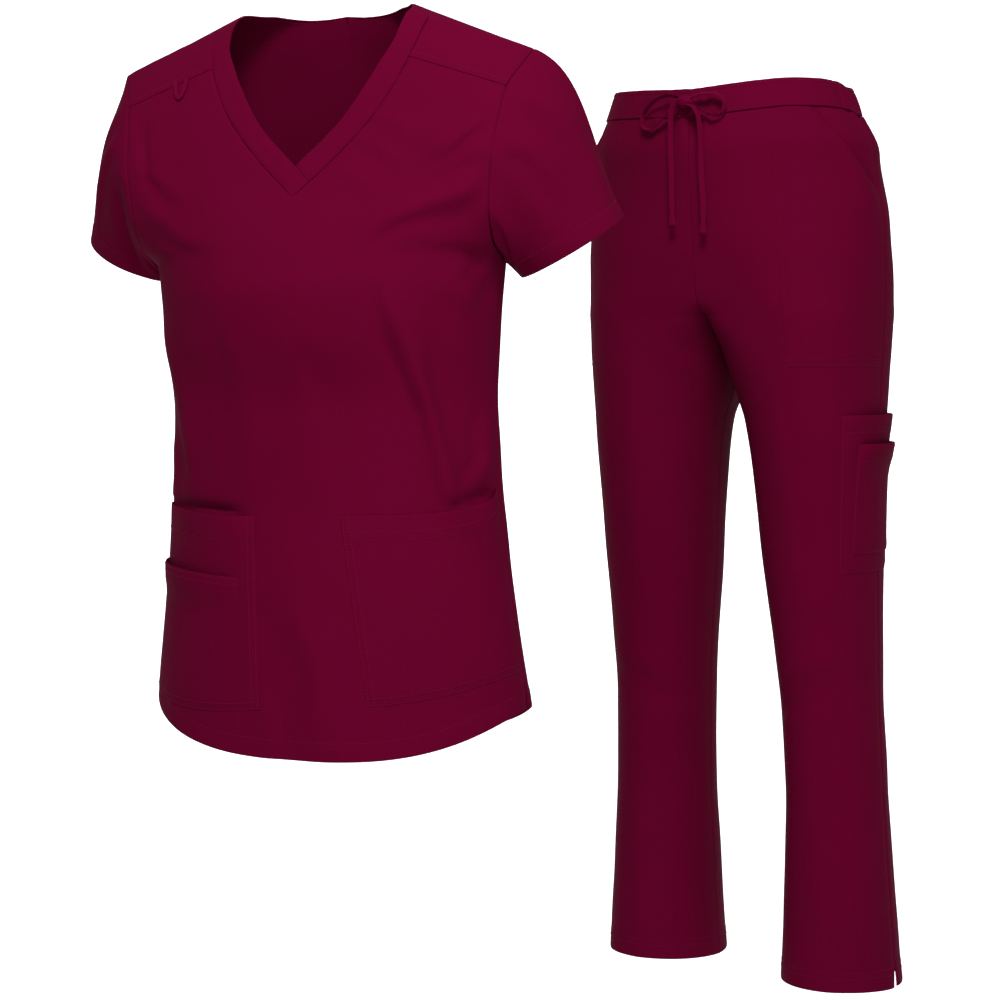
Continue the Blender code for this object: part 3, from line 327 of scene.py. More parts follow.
# On a leg: degrees from the side seam (front positive) and height of each end.
LegCrease = namedtuple("LegCrease", "side start end reach height bow")
LEG_CREASES = named_rows(
    LegCrease,
    (1, (140, -0.335), (112, -0.300), 0.010, 0.0007, 0.004),
    (-1, (140, -0.335), (112, -0.298), 0.010, 0.0007, 0.004),
    (1, (92, -0.370), (86, -0.560), 0.012, 0.0012, 0.004),
    (-1, (92, -0.370), (88, -0.560), 0.012, 0.0012, 0.004),
    (1, (60, -0.640), (130, -0.665), 0.014, 0.0014, 0.004),
    (1, (70, -0.680), (140, -0.700), 0.013, -0.0013, 0.004),
    (-1, (55, -0.650), (120, -0.670), 0.014, 0.0014, 0.004),
    (-1, (70, -0.690), (140, -0.706), 0.013, -0.0012, 0.004),
    (1, (32, -0.070), (1, -0.149), 0.0055, -0.0022, 0.0098),
    (1, (84, -0.820), (78, -0.985), 0.014, 0.0014, 0.003),
    (-1, (84, -0.820), (90, -0.985), 0.014, 0.0014, 0.003),
    (1, (-150, -0.330), (-95, -0.300), 0.012, 0.0030, 0.006),
    (1, (-160, -0.362), (-100, -0.345), 0.012, -0.0022, 0.006),
    (-1, (-150, -0.330), (-95, -0.300), 0.012, 0.0030, 0.006),
    (-1, (-160, -0.362), (-100, -0.345), 0.012, -0.0022, 0.006),
    (1, (-60, -0.640), (-130, -0.625), 0.014, 0.0022, 0.005),
    (1, (-60, -0.680), (-130, -0.690), 0.014, 0.0018, 0.005),
    (-1, (-60, -0.645), (-130, -0.630), 0.014, 0.0022, 0.005),
    (-1, (-60, -0.685), (-130, -0.695), 0.014, 0.0018, 0.005),
    (1, (-92, -0.760), (-88, -0.980), 0.016, 0.0016, 0.004),
    (-1, (-92, -0.760), (-88, -0.980), 0.016, 0.0016, 0.004),
)
# The uneven line of the waist seam: degrees from the left side to the front, and rise.
WAIST_WAVE = (
    (-90, 0.0), (-50, -0.0020), (-16, -0.0045), (0, -0.0020), (10, 0.0025), (30, 0.0066),
    (45, 0.0074), (60, 0.0056), (75, 0.0026), (90, 0.0), (120, 0.0024), (150, 0.0038),
    (180, 0.0), (196, -0.0020), (270, 0.0),
)
# Short pleats under the waistband, where the drawstring pulls it in.
Pleat = namedtuple("Pleat", "x length reach height")
PLEATS = named_rows(
    Pleat,
    (-0.006, 0.095, 0.0034, 0.0024),
    (0.018, 0.080, 0.0034, 0.0022),
    (0.006, 0.080, 0.0040, -0.0018),
    (-0.019, 0.060, 0.0042, -0.0014),
    (0.032, 0.055, 0.0040, 0.0012),
    (-0.037, 0.050, 0.0040, 0.0012),
)

# Widths of the hems, whose outer rows of stitches run along their inner edges.
TOP_HEM = 0.017
SLEEVE_HEM = 0.016
POCKET_HEM = 0.022
LEG_HEM = 0.022
CARGO_HEM = 0.018
SECOND_ROW = 0.015

# Walls that aren't one layer of twill, and how far pieces stand out from the form.
DOUBLED_WALL = 0.0022
LOOP_WALL = 0.0014
LOOP_PROUD = 0.0026
NECK_BAND_PROUD = 0.0007
LAYER_GAP = 0.0003
ALLOWANCE_SUNK = 0.0012

# About how wide and long pieces are, which spaces the lines of their grids.
HALF_PANEL_WIDTH = 0.235
YOKE_WIDTH = 0.10
NECK_BAND_WIDTH = 0.026
SLEEVE_LENGTH = 0.17
SLEEVE_ROUND = 0.35
PATCH_WIDTH = 0.13
PATCH_LENGTH = 0.17
LEG_PANEL_WIDTH = 0.26
HIP_POCKET_LENGTH = 0.24

# Clear space at the seams of the legs and armholes, and how far an allowance lies behind.
SEAM_GAP = 0.0001
ARMHOLE_GAP = 0.0004
ALLOWANCE_BEHIND = 0.0018

# A crease runs out this share of its length past each end. Its trough's depth is a share
# of its height; the trough's place and reach are shares of its reach.
RUN_OUT = 0.3
TROUGH_DEPTH = 0.35
TROUGH_ASIDE = 1.7
TROUGH_REACH = 0.9

# Gathers under the elastic: their height, how far down they reach, and how much closer
# they lie on the right leg.
GATHER_HEIGHT = 0.0013
GATHER_FALL = 0.06
RIGHT_GATHERS = 1.03

# How many columns the grids of closed or gathered pieces have.
SLEEVE_COLUMNS = 96
FRONT_BAND_COLUMNS = 130
BACK_BAND_COLUMNS = 420
TAPE_SIDES = 12

# The soft waves that all cloth has: their height and size.
PANEL_WAVES = (0.0007, 0.055)
SLEEVE_WAVES = (0.0008, 0.050)
LEG_WAVES = (0.0008, 0.060)

# A piece's sheet is worked out a little larger than its cloth, and never under these least sizes.
# A sheet is stated a little larger than its cloth, and never under the least allowed.
SHEET_SLACK = 1.01
LEAST_SIDE = 0.0101
LEAST_SHARE = 0.301
ELASTIC_FULLNESS = 1.3

GRIDS = {}  # every laid piece by its node, for the stitches that follow its edges


# ---------------------------------------------------------------- arithmetic

def spread(start, end, count):
    return [start + (end - start) * step / count for step in range(count + 1)]


def smoothstep(value):
    value = min(max(value, 0.0), 1.0)
    return value * value * (3.0 - 2.0 * value)


def bell(distance, reach):
    return math.exp(-(distance / reach) ** 2)


def smooth_value(places, values, place):
    """A smooth curve through the values that never swings past them."""
    if place <= places[0]:
        return values[0]
    if place >= places[-1]:
        return values[-1]
    count = len(places)
    index = max(i for i in range(count - 1) if places[i] <= place)
    steps = [places[i + 1] - places[i] for i in range(count - 1)]
    slopes = [(values[i + 1] - values[i]) / steps[i] for i in range(count - 1)]

    def tangent(i):
        if i == 0:
            return slopes[0]
        if i == count - 1:
            return slopes[-1]
        if slopes[i - 1] * slopes[i] <= 0.0:
            return 0.0
        return 2.0 * slopes[i - 1] * slopes[i] / (slopes[i - 1] + slopes[i])

    step = steps[index]
    t = (place - places[index]) / step
    return (
        (1 + 2 * t) * (1 - t) ** 2 * values[index]
        + t * (1 - t) ** 2 * step * tangent(index)
        + t * t * (3 - 2 * t) * values[index + 1]
        - t * t * (1 - t) * step * tangent(index + 1)
    )


@functools.lru_cache(maxsize=None)
def row_at(rows, place, falling=False):
    """The row at this place, between the table's rows; its first column is the place."""
    sign = -1.0 if falling else 1.0
    places = [sign * row[0] for row in rows]
    columns = zip(*rows)
    return type(rows[0])(*(smooth_value(places, column, sign * place) for column in columns))


def solve(function, low, high):
    for _ in range(36):
        middle = (low + high) / 2
        if function(middle) < 0:
            low = middle
        else:
            high = middle
    return (low + high) / 2


def crease_height(crease, across, down, bow=0.0):
    """The height at (across, down) of one fold; a bowed one has a trough along its foot."""
    run_x, run_y = crease.end[0] - crease.start[0], crease.end[1] - crease.start[1]
    length = math.hypot(run_x, run_y)
    run_x, run_y = run_x / length, run_y / length
    from_x, from_y = across - crease.start[0], down - crease.start[1]
    along = (from_x * run_x + from_y * run_y) / length
    if not -RUN_OUT < along < 1 + RUN_OUT:
        return 0.0
    aside = from_y * run_x - from_x * run_y - 4 * bow * along * (1 - along)
    reach = crease.reach
    fade = smoothstep((along + RUN_OUT) / 0.5) * smoothstep((1 + RUN_OUT - along) / 0.5)
    if not bow:
        return crease.height * fade * bell(aside, reach)
    reach *= (1.15 if aside > 0 else 0.8) * (1 + 0.22 * math.sin(7 * along + 900 * crease.reach))
    trough = TROUGH_DEPTH * bell(aside + TROUGH_ASIDE * reach, TROUGH_REACH * reach)
    return crease.height * fade * (bell(aside, reach) - trough)


def scaled(crease, share):
    """The crease with its ends' first numbers times this share."""
    return crease._replace(start=(crease.start[0] * share, crease.start[1]),
                           end=(crease.end[0] * share, crease.end[1]))


def waves(point, kind):
    height, size = kind
    return height * noise.noise(point / size)


def travelled(points):
    """How far each point lies from the first, along the line through them."""
    lengths = [0.0]
    for a, b in zip(points, points[1:]):
        lengths.append(lengths[-1] + (b - a).length)
    return lengths


# --------------------------------------------------------------- the surfaces

def panel_point(rows, across, down, side=1):
    """A point of a body panel; across is 0 at the side and 1 at the middle."""
    row = row_at(rows, down)
    front = rows is TOP_FRONT
    wrap = math.radians(row.wrap)
    angle = wrap + (math.pi / 2 - wrap) * across
    reach = math.cos(angle) / math.cos(wrap)
    depth = (math.sin(angle) - math.sin(wrap)) / (1 - math.sin(wrap))
    x = side * row.side_x * reach
    y = row.side_y + (row.middle_y - row.side_y) * depth
    z = row.middle_z + (row.side_z - row.middle_z) * abs(reach) ** row.bow
    z -= HEM_SWING * x * smoothstep((down - 0.35) / (HEM_DOWN - 0.35))
    at_seam = smoothstep(across * 5)
    lift = sum(crease_height(fold, x, z) for fold in TOP_FOLDS if fold.front == front) * at_seam
    point = Vector((x, y + (-lift if front else lift), z))
    relief = sum(crease_height(c, x, z, c.bow) for c in TOP_CREASES if c.front == front) * at_seam
    relief *= bpy.context.scene.scrubs_cloth.crease_strength
    relief += waves(point, PANEL_WAVES) * smoothstep((down - 0.02) / 0.05)
    out = Vector((side * math.cos(angle), -math.sin(angle) if front else math.sin(angle), 0.0))
    return point + out * relief


def across_at(rows, x, down):
    row = row_at(rows, down)
    wrap = math.radians(row.wrap)
    angle = math.acos(min(max(x / row.side_x * math.cos(wrap), -1.0), 1.0))
    return (angle - wrap) / (math.pi / 2 - wrap)


def panel_normal(rows, across, down, side=1):
    step = 0.002
    over = min(max(across, step), 1 - step)
    along = min(max(down, step), HEM_DOWN - step)
    middle_way = (panel_point(rows, over + step, along, side)
                  - panel_point(rows, over - step, along, side))
    hem_way = (panel_point(rows, over, along + step, side)
               - panel_point(rows, over, along - step, side))
    normal = middle_way.cross(hem_way).normalized()
    outwards = Vector((side * 0.5, -1.0 if rows is TOP_FRONT else 1.0, 0.2))
    return normal if normal.dot(outwards) > 0 else -normal


def neck_half_width(table, height):
    return row_at(table, height, True).half_width


@functools.lru_cache(maxsize=None)
def front_inner(down):
    """How far from the middle the front ends: at the neck band, or not at all."""
    if panel_point(TOP_FRONT, 1.0, down).z <= BAND_EDGE[-1].height:
        return 0.0

    def past_band(x):
        point = panel_point(TOP_FRONT, across_at(TOP_FRONT, x, down), down)
        return x - neck_half_width(BAND_EDGE, point.z)

    return solve(past_band, 0.0, 0.15)


def back_inner(down):
    return row_at(BACK_NECK, down).half_width


def half_panel(rows, inner, side):
    """The surface of the left (side 1) or right (side -1) half of a body panel."""
    face = -1 if rows is TOP_FRONT else 1

    def surface(across, down):
        point = panel_point(rows, across * across_at(rows, inner(down), down), down, side)
        if face < 0:
            point.y -= sum(crease_height(tuck, point.x, point.z) for tuck in MOUTH_TUCKS)
        if down >= UNDERARM_DOWN:
            vent = smoothstep((down - (HEM_DOWN - VENT_HEIGHT)) / VENT_HEIGHT)
            point.y += face * VENT_OPENING * vent * (1 - smoothstep(across * 4))
        return point

    return surface


def place_on_front(x, z):
    side = 1 if x >= 0 else -1
    reach = abs(x)

    def too_high(down):
        return z - panel_point(TOP_FRONT, across_at(TOP_FRONT, reach, down), down, side).z

    down = solve(too_high, 0.0, HEM_DOWN)
    return across_at(TOP_FRONT, reach, down), down, side


def lifted(across, down, side, proud):
    point = panel_point(TOP_FRONT, across, down, side)
    return point + panel_normal(TOP_FRONT, across, down, side) * proud


def apex_down():
    return solve(lambda down: BAND_EDGE[-1].height - panel_point(TOP_FRONT, 1.0, down).z,
                 YOKE_DOWN, UNDERARM_DOWN)


def armhole_edge(turn):
    front = turn <= 0.5
    rows = TOP_FRONT if front else TOP_BACK
    down = UNDERARM_DOWN * (2 * turn if front else 2 - 2 * turn)
    return panel_point(rows, 0.0, down), panel_normal(rows, 0.0, down)


@functools.lru_cache(maxsize=None)
def sleeve_start(turn):
    """Where a sleeve starts at the armhole, and which way it leaves it."""
    step = 0.002
    before = armhole_edge(max(turn - step, 0.0))[0]
    after = armhole_edge(min(turn + step, 1.0))[0]
    point, normal = armhole_edge(turn)
    away = normal.cross((after - before).normalized()).normalized()
    low = smoothstep((0.5 - abs(turn - 0.5) - 0.33) / 0.12)
    return point + away * ARMHOLE_GAP + normal * ARMHOLE_GAP * low, away


def sleeve_point(side, turn, along):
    """A point of a sleeve, as if on the left, from the armhole (0) to the cuff (1)."""
    shape = SLEEVES[side]
    turn %= 1.0
    axis = (shape.cuff_centre - ARMHOLE_CENTRE).normalized()
    upwards = shape.cuff_upwards - axis * shape.cuff_upwards.dot(axis)
    forwards = upwards.normalized().cross(axis).normalized()
    if forwards.y > 0:
        forwards = -forwards
    angle = 2 * math.pi * turn
    start, away = sleeve_start(turn)
    end = shape.cuff_centre + upwards * math.cos(angle)
    end += forwards * shape.cuff_half_depth * math.sin(angle)
    chord = end - start
    cap = shape.cap * max(0.0, math.cos(angle)) + shape.flank * abs(math.sin(angle))
    leave = (chord.normalized() * (1 - cap) + away * cap).normalized() * chord.length
    arrive = (chord.normalized() * 0.5 + axis * 0.5).normalized() * chord.length
    t = along
    point = (
        start * (1 + 2 * t) * (1 - t) ** 2
        + leave * t * (1 - t) ** 2
        + end * t * t * (3 - 2 * t)
        - arrive * t * t * (1 - t)
    )
    out = point - (ARMHOLE_CENTRE + axis * (point - ARMHOLE_CENTRE).dot(axis))
    relief = sum(
        crease_height(scaled(crease, SLEEVE_ROUND), turn * SLEEVE_ROUND,
                      along * SLEEVE_LENGTH, crease.bow)
        for crease in SLEEVE_CREASES if crease.side == side
    )
    relief = relief * smoothstep(along * 6) * bpy.context.scene.scrubs_cloth.crease_strength
    relief += waves(point, SLEEVE_WAVES) * smoothstep(along * 5)
    return point + out.normalized() * relief


def leg_row(height):
    return row_at(LEG_ROWS, height, True)


def waist_wave(turn):
    """How far the waist seam rises or sinks, by degrees from the left side to the front."""
    turns, rises = zip(*WAIST_WAVE)
    return smooth_value(turns, rises, turn if turn <= 270 else turn - 360)


def waist_tilt(angle, front, height):
    fade = 1 - smoothstep((WAIST_SEAM - height) / DIP_FADE)
    return (FRONT_DIP if front else BACK_RISE) * math.sin(angle) * fade


def hem_tilt(side, angle, front, height):
    low = smoothstep((-0.85 - height) / (-0.85 - TROUSER_HEM))
    tilt = (INSTEP_RISE if front else HEEL_DROP) * math.sin(angle) * low
    if side < 0:
        tilt += RIGHT_LIFT * smoothstep((STANCE_TOP - height) / (STANCE_TOP - TROUSER_HEM))
    return tilt


def last_angle(row):
    reach = (SEAM_GAP - row.leg_x) / row.half_width
    return math.pi if reach <= -1 else math.acos(reach)


def leg_relief(side, front, angle, height, x, point):
    """Creases of the legs, pleats under the drawstring and gathers under the elastic."""
    turn = math.degrees(angle) * (1 if front else -1)
    arc = 0.0013 + 0.0009 * smoothstep((height + 0.5) / 0.3)  # metres of cloth to a degree
    relief = 0.0
    for crease in LEG_CREASES:
        if crease.side == side:
            relief += crease_height(scaled(crease, arc), turn * arc, height, crease.bow)
    relief *= smoothstep(angle * 6) * smoothstep((last_angle(leg_row(height)) - angle) * 6)
    fall = WAIST_SEAM - height
    if front and fall < 0.1:
        for pleat in PLEATS:
            fade = smoothstep(1 - fall / pleat.length)
            relief += pleat.height * fade * bell(side * x - pleat.x, pleat.reach)
    if fall < 0.08 and (not front or turn < ELASTIC_START):
        share = (turn + 180) / (180 + ELASTIC_START)
        wave = math.cos(math.pi * GATHERS * share * (1.0 if side > 0 else RIGHT_GATHERS))
        near = smoothstep(1 - fall / GATHER_FALL)
        relief += GATHER_HEIGHT * wave * near * smoothstep((ELASTIC_START - turn) / 8)
    relief *= bpy.context.scene.scrubs_cloth.crease_strength
    return relief + waves(point, LEG_WAVES)


def ring_depth(angle, height, front):
    """The share of its full depth that a leg's ring has at this angle; thighs are squarer."""
    if angle <= math.pi / 2:
        return max(math.sin(angle), 0.0)
    full = smoothstep((FULL_TOP - height) / (FULL_TOP - CROTCH))
    full *= math.exp(min(height - CROTCH, 0.0) / FULL_FADE)
    power = 2 + ((FRONT_FULLNESS if front else BACK_FULLNESS) - 2) * full
    return max(1 - abs(math.cos(angle)) ** power, 0.0) ** (1 / power)


def leg_point(side, front, angle, height, proud=0.0):
    row = leg_row(height)
    depth = (row.front if front else row.back) + proud
    face = -1 if front else 1
    share = smoothstep((STANCE_TOP - height) / (STANCE_TOP - TROUSER_HEM))
    x = row.leg_x + (row.half_width + proud) * math.cos(angle)
    y = row.centre_y - side * STANCE * share + face * depth * ring_depth(angle, height, front)
    z = height + waist_tilt(angle, front, height) + hem_tilt(side, angle, front, height)
    if height > WAIST_SEAM - DIP_FADE:
        turn = math.degrees(angle) * -face
        fade = 1 - smoothstep((WAIST_SEAM - height) / DIP_FADE)
        z += waist_wave(turn if side > 0 else 180 - turn) * fade
    point = Vector((side * x, y, z))
    out = Vector((side * math.cos(angle), face * math.sin(angle), 0.0))
    swell = HIP_SWELL * bell(WAIST_SEAM - height, 0.030) * abs(math.cos(angle))
    return point + out * (swell + leg_relief(side, front, angle, height, x, point))


def leg_surface(side, front):
    face = -1 if front else 1

    def surface(across, height):
        point = leg_point(side, front, last_angle(leg_row(height)) * across, height)
        vent = smoothstep((TROUSER_HEM + ANKLE_VENT - height) / ANKLE_VENT)
        point.y += face * (SEAM_GAP + VENT_OPENING * vent * (1 - smoothstep(across * 5)))
        return point

    return surface


def front_angle(x, height):
    row = leg_row(height)
    return math.acos(min(max((x - row.leg_x) / row.half_width, -1.0), 1.0))


def waist_point(turn, rise, proud):
    """A point of the waistband: turn in degrees from the left side towards the front."""
    row = leg_row(WAIST_SEAM)
    angle = math.radians(turn)
    at_side = bell(((turn + 90) % 180) - 90, 36)
    taper = (BAND_TOP_TAPER + 0.0055 * at_side) * rise
    proud += HIP_SWELL * (1 - max(rise, 0.0)) * abs(math.cos(angle))
    front = math.sin(angle) > 0
    depth = (row.front if front else row.back) - taper + proud
    x = (row.half_width - taper + proud) * math.cos(angle)
    y = row.centre_y - depth * math.sin(angle)
    tilt = waist_tilt(abs(angle), front, WAIST_SEAM) if front else BACK_RISE * abs(math.sin(angle))
    tilt += waist_wave(turn)
    return Vector((x, y, WAIST_SEAM + 0.0002 + tilt + BAND_HEIGHT * rise))


# -------------------------------------------------------------- cloth by grid

# How an edge of a piece is finished. A seam sinks in beside its neighbour, a lap
# lies over it, a hem is folded double over its width, a fold just rounds off,
# and a join is left as it is.
Edge = namedtuple("Edge", "kind width")
JOIN = Edge("join", 0.0)
SEAM = Edge("seam", 0.0)
STITCHED = Edge("lap", 0.0055)
FOLDED = Edge("fold", 0.0)
PATCH_EDGE = Edge("fold", 0.0055)


def edge_offsets(edge):
    """How far from the edge the grid needs lines, to draw its finish."""
    if edge.kind == "join":
        return [0.0]
    offsets = [0.0, 0.0007, 0.0016, 0.0030]
    if edge.width:
        offsets += [edge.width + step for step in (-0.0014, -0.0006, 0.0, 0.0006, 0.0014)]
    return sorted(offset for offset in set(offsets) if offset >= 0.0)


def stations(start, end, length, first, last, pitch):
    """Values from start to end, pitch apart and closer beside finished edges."""
    near = edge_offsets(first)
    far = [length - offset for offset in edge_offsets(last)]
    clear, stop = near[-1], far[-1]
    count = max(2, round((stop - clear) / pitch))
    distances = near + spread(clear, stop, count)[1:-1] + far[::-1]
    return [start + (end - start) * distance / length for distance in distances]


def edge_lift(edge, distance, place):
    """How far the finish of an edge moves the cloth out, this far in from it."""
    cloth = bpy.context.scene.scrubs_cloth
    if edge.kind == "join" or distance > 0.06:
        return 0.0
    lift = -cloth.seam_dip * bell(distance, 0.0013) * (1.0 if edge.kind == "seam" else 0.45)
    if edge.kind == "lap":
        lift = 0.0008 * (1 - smoothstep((distance - edge.width) / 0.002))
    if edge.width:
        lift -= 0.0003 * bell(distance - edge.width, 0.0007)
        if edge.width > 0.01:
            lift += 0.0004 * (1 - smoothstep((distance - edge.width) / 0.003))
        pull = abs(distance - edge.width)
        pucker = noise.noise(place / 0.011) * math.exp(-pull / 0.009)
        lift += cloth.pucker * pucker
    elif edge.kind == "seam":
        lift += 0.7 * cloth.pucker * noise.noise(place / 0.013) * math.exp(-distance / 0.010)
    return lift


class ClothGrid:
    """A grid of points on one face of a piece, with its edges finished."""

    def __init__(self, surface, across, along, edges, inside, closed=False):
        self.columns, self.lines, self.closed = len(across), len(along), closed
        self.edges = edges
        self.base = base = [[surface(a, b) for b in along] for a in across]
        self.over = list(zip(*(travelled(line) for line in zip(*base))))
        self.fall = [travelled(column) for column in base]
        normals = self.normals(base, inside)
        self.points = [
            [base[i][j] + normals[i][j] * self.lift(i, j) for j in range(self.lines)]
            for i in range(self.columns)
        ]
        self.outward = self.normals(self.points, inside)

    def edges_at(self, _line):
        return self.edges

    def lift(self, i, j):
        """How far the finishes of all four edges move this point out."""
        over, fall = self.over[i][j], self.fall[i][j]
        distances = (over, self.over[-1][j] - over, fall, self.fall[i][-1] - fall)
        return sum(edge_lift(edge, distance, self.base[i][j])
                   for edge, distance in zip(self.edges_at(j), distances))

    def normals(self, points, inside):
        found = []
        score = 0.0
        for i in range(self.columns):
            column = []
            for j in range(self.lines):
                here = points[i][j]
                before, after = points[max(i - 1, 0)][j], points[min(i + 1, self.columns - 1)][j]
                if self.closed and i in (0, self.columns - 1):
                    before, after = points[-2][j], points[1][j]
                elif abs(here.x) < 1e-6 and i == self.columns - 1:
                    after = Vector((-before.x, before.y, before.z))
                above, below = points[i][max(j - 1, 0)], points[i][min(j + 1, self.lines - 1)]
                normal = (after - before).cross(below - above)
                normal = normal.normalized() if normal.length > 1e-12 else Vector((0, 0, 0))
                score += normal.dot(here - inside(here))
                column.append(normal)
            found.append(column)
        sign = 1 if score > 0 else -1
        return [[normal * sign for normal in column] for column in found]

    def area(self):
        total = 0.0
        for i in range(self.columns - 1):
            for j in range(self.lines - 1):
                a, b = self.base[i][j], self.base[i + 1][j]
                c, d = self.base[i + 1][j + 1], self.base[i][j + 1]
                total += (c - a).cross(d - b).length / 2
        return total

    def width(self):
        return max(self.over[-1])

    def length(self):
        return max(column[-1] for column in self.fall)

    def inset(self, edge, distance):
        """Points and normals of a line this far in from an edge: first, last, top or low."""
        by_line = edge in ("first", "last")
        line = []
        for k in range(self.lines if by_line else self.columns):
            if by_line:
                run = [(self.over[i][k], self.points[i][k], self.outward[i][k])
                       for i in range(self.columns)]
            else:
                run = [(self.fall[k][j], self.points[k][j], self.outward[k][j])
                       for j in range(self.lines)]
            if edge in ("last", "low"):
                run = [(run[-1][0] - reach, point, out) for reach, point, out in run[::-1]]
            if run[-1][0] < distance:
                continue
            index = next(i for i in range(1, len(run)) if run[i][0] >= distance)
            (near, a, normal_a), (far, b, normal_b) = run[index - 1], run[index]
            share = (distance - near) / max(far - near, 1e-9)
            line.append((a.lerp(b, share), normal_a.lerp(normal_b, share).normalized()))
        return line


def lay(mesh, grid, layer):
    """Lays a flat grid of the mesh on the points of a cloth grid, with its cloth map."""
    columns, lines = grid.columns - 1, grid.lines - 1
    made = bmesh.ops.create_grid(mesh, x_segments=columns, y_segments=lines, size=0.5)
    place = {}
    for vert in made["verts"]:
        i = round((vert.co.x + 0.5) * columns)
        j = round((vert.co.y + 0.5) * lines)
        place[vert] = (i, j)
        vert.co = grid.points[i][j]
    faces = {face for vert in made["verts"] for face in vert.link_faces}
    for face in faces:
        for loop in face.loops:
            i, j = place[loop.vert]
            loop[layer].uv = (grid.over[i][j], grid.fall[i][j])


def add_object(name, mesh, material, smooth=True):
    """Turns a drawn mesh into an object of the scene."""
    data = bpy.data.meshes.new(name)
    mesh.to_mesh(data)
    mesh.free()
    if smooth:
        data.shade_smooth()
    data.materials.append(material)
    made = bpy.data.objects.new(name, data)
    bpy.context.scene.collection.objects.link(made)
    return made


def finish_piece(node, mesh, place, inside, material, wall):
    """Turns a laid mesh into a sewn piece that stands for its solid."""
    bmesh.ops.remove_doubles(mesh, verts=mesh.verts, dist=1e-5)
    bmesh.ops.recalc_face_normals(mesh, faces=mesh.faces)
    outward = sum(
        face.normal.dot(face.calc_center_median() - inside(face.calc_center_median()))
        for face in mesh.faces
    )
    if outward < 0:
        bmesh.ops.reverse_faces(mesh, faces=mesh.faces)
    mesh.transform(place)
    piece = add_object(node + "_cloth", mesh, material)
    shell = piece.modifiers.new("wall", "SOLIDIFY")
    shell.thickness = wall
    shell.offset = -1.0
    shell.use_even_offset = False
    shell.use_quality_normals = True
    rounding = piece.modifiers.new("rounded edge", "BEVEL")
    rounding.width = wall * 0.3
    rounding.segments = 2
    rounding.limit_method = "ANGLE"
    rounding.angle_limit = math.radians(60)
    rounding.harden_normals = False
    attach(piece, "root")
    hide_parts(node)
    return piece


def sew(node, grids, place, inside, material, wall, fullness=1.0):
    mesh = bmesh.new()
    layer = mesh.loops.layers.uv.new("cloth")
    for grid in grids:
        lay(mesh, grid, layer)
    GRIDS[node] = grids
    piece = finish_piece(node, mesh, place, inside, material, wall)
    width = max(sum(grid.width() for grid in grids) * fullness * SHEET_SLACK, LEAST_SIDE)
    length = max(max(grid.length() for grid in grids) * SHEET_SLACK, LEAST_SIDE)
    area = max(sum(grid.area() for grid in grids) * fullness, LEAST_SHARE * width * length)


# ------------------------------------------------------------------ materials

def math_node(tree, operation, *values):
    node = tree.nodes.new("ShaderNodeMath")
    node.operation = operation
    for socket, value in zip(node.inputs, values):
        if isinstance(value, (int, float)):
            socket.default_value = value
        else:
            tree.links.new(value, socket)
    return node.outputs[0]


def new_material(name, **settings):
    """A material whose shader has these settings, with _ for each space in their names."""
    material = bpy.data.materials.new(name)
    material.use_nodes = True
    for key, value in settings.items():
        shader = material.node_tree.nodes["Principled BSDF"]
        shader.inputs[key.replace("_", " ")].default_value = value
    return material


def make_weave_group():
    """Twill: fine diagonal ribs crossed by threads, with slubs and a soft change of shade."""
    group = bpy.data.node_groups.new("Twill weave", "ShaderNodeTree")
    for name, way, kind in (
        ("Cloth", "INPUT", "Vector"), ("Place", "INPUT", "Vector"), ("Ribs", "INPUT", "Float"),
        ("Colour", "INPUT", "Color"), ("Colour", "OUTPUT", "Color"),
        ("Roughness", "OUTPUT", "Float"), ("Height", "OUTPUT", "Float"),
    ):
        group.interface.new_socket(name, in_out=way, socket_type="NodeSocket" + kind)
    nodes, links = group.nodes, group.links
    inputs = nodes.new("NodeGroupInput").outputs
    outputs = nodes.new("NodeGroupOutput").inputs

    def add(first, second):
        return math_node(group, "ADD", first, second)

    def times(first, second):
        return math_node(group, "MULTIPLY", first, second)

    def speckle(place, scale, detail):
        texture = nodes.new("ShaderNodeTexNoise")
        texture.inputs["Scale"].default_value = scale
        texture.inputs["Detail"].default_value = detail
        links.new(place, texture.inputs["Vector"])
        return texture.outputs["Fac"]

    split = nodes.new("ShaderNodeSeparateXYZ")
    links.new(inputs["Cloth"], split.inputs[0])
    u, v = split.outputs[0], split.outputs[1]
    ribs = math_node(group, "SINE", times(add(u, times(v, 1.25)), inputs["Ribs"]))
    weft = math_node(group, "SUBTRACT", times(u, 1.1), v)
    threads = math_node(group, "SINE", times(weft, times(inputs["Ribs"], 1.9)))
    slub = speckle(inputs["Cloth"], 900.0, 2.0)
    height = add(add(times(ribs, 0.5), times(threads, 0.25)), times(slub, 0.6))
    shade = speckle(inputs["Place"], 9.0, 3.0)
    tone = nodes.new("ShaderNodeHueSaturation")
    links.new(inputs["Colour"], tone.inputs["Color"])
    links.new(add(add(0.90, times(shade, 0.16)), times(height, 0.035)), tone.inputs["Value"])
    rough = add(add(0.70, times(shade, 0.12)), times(ribs, -0.03))
    links.new(tone.outputs["Color"], outputs["Colour"])
    links.new(rough, outputs["Roughness"])
    links.new(height, outputs["Height"])
    return group


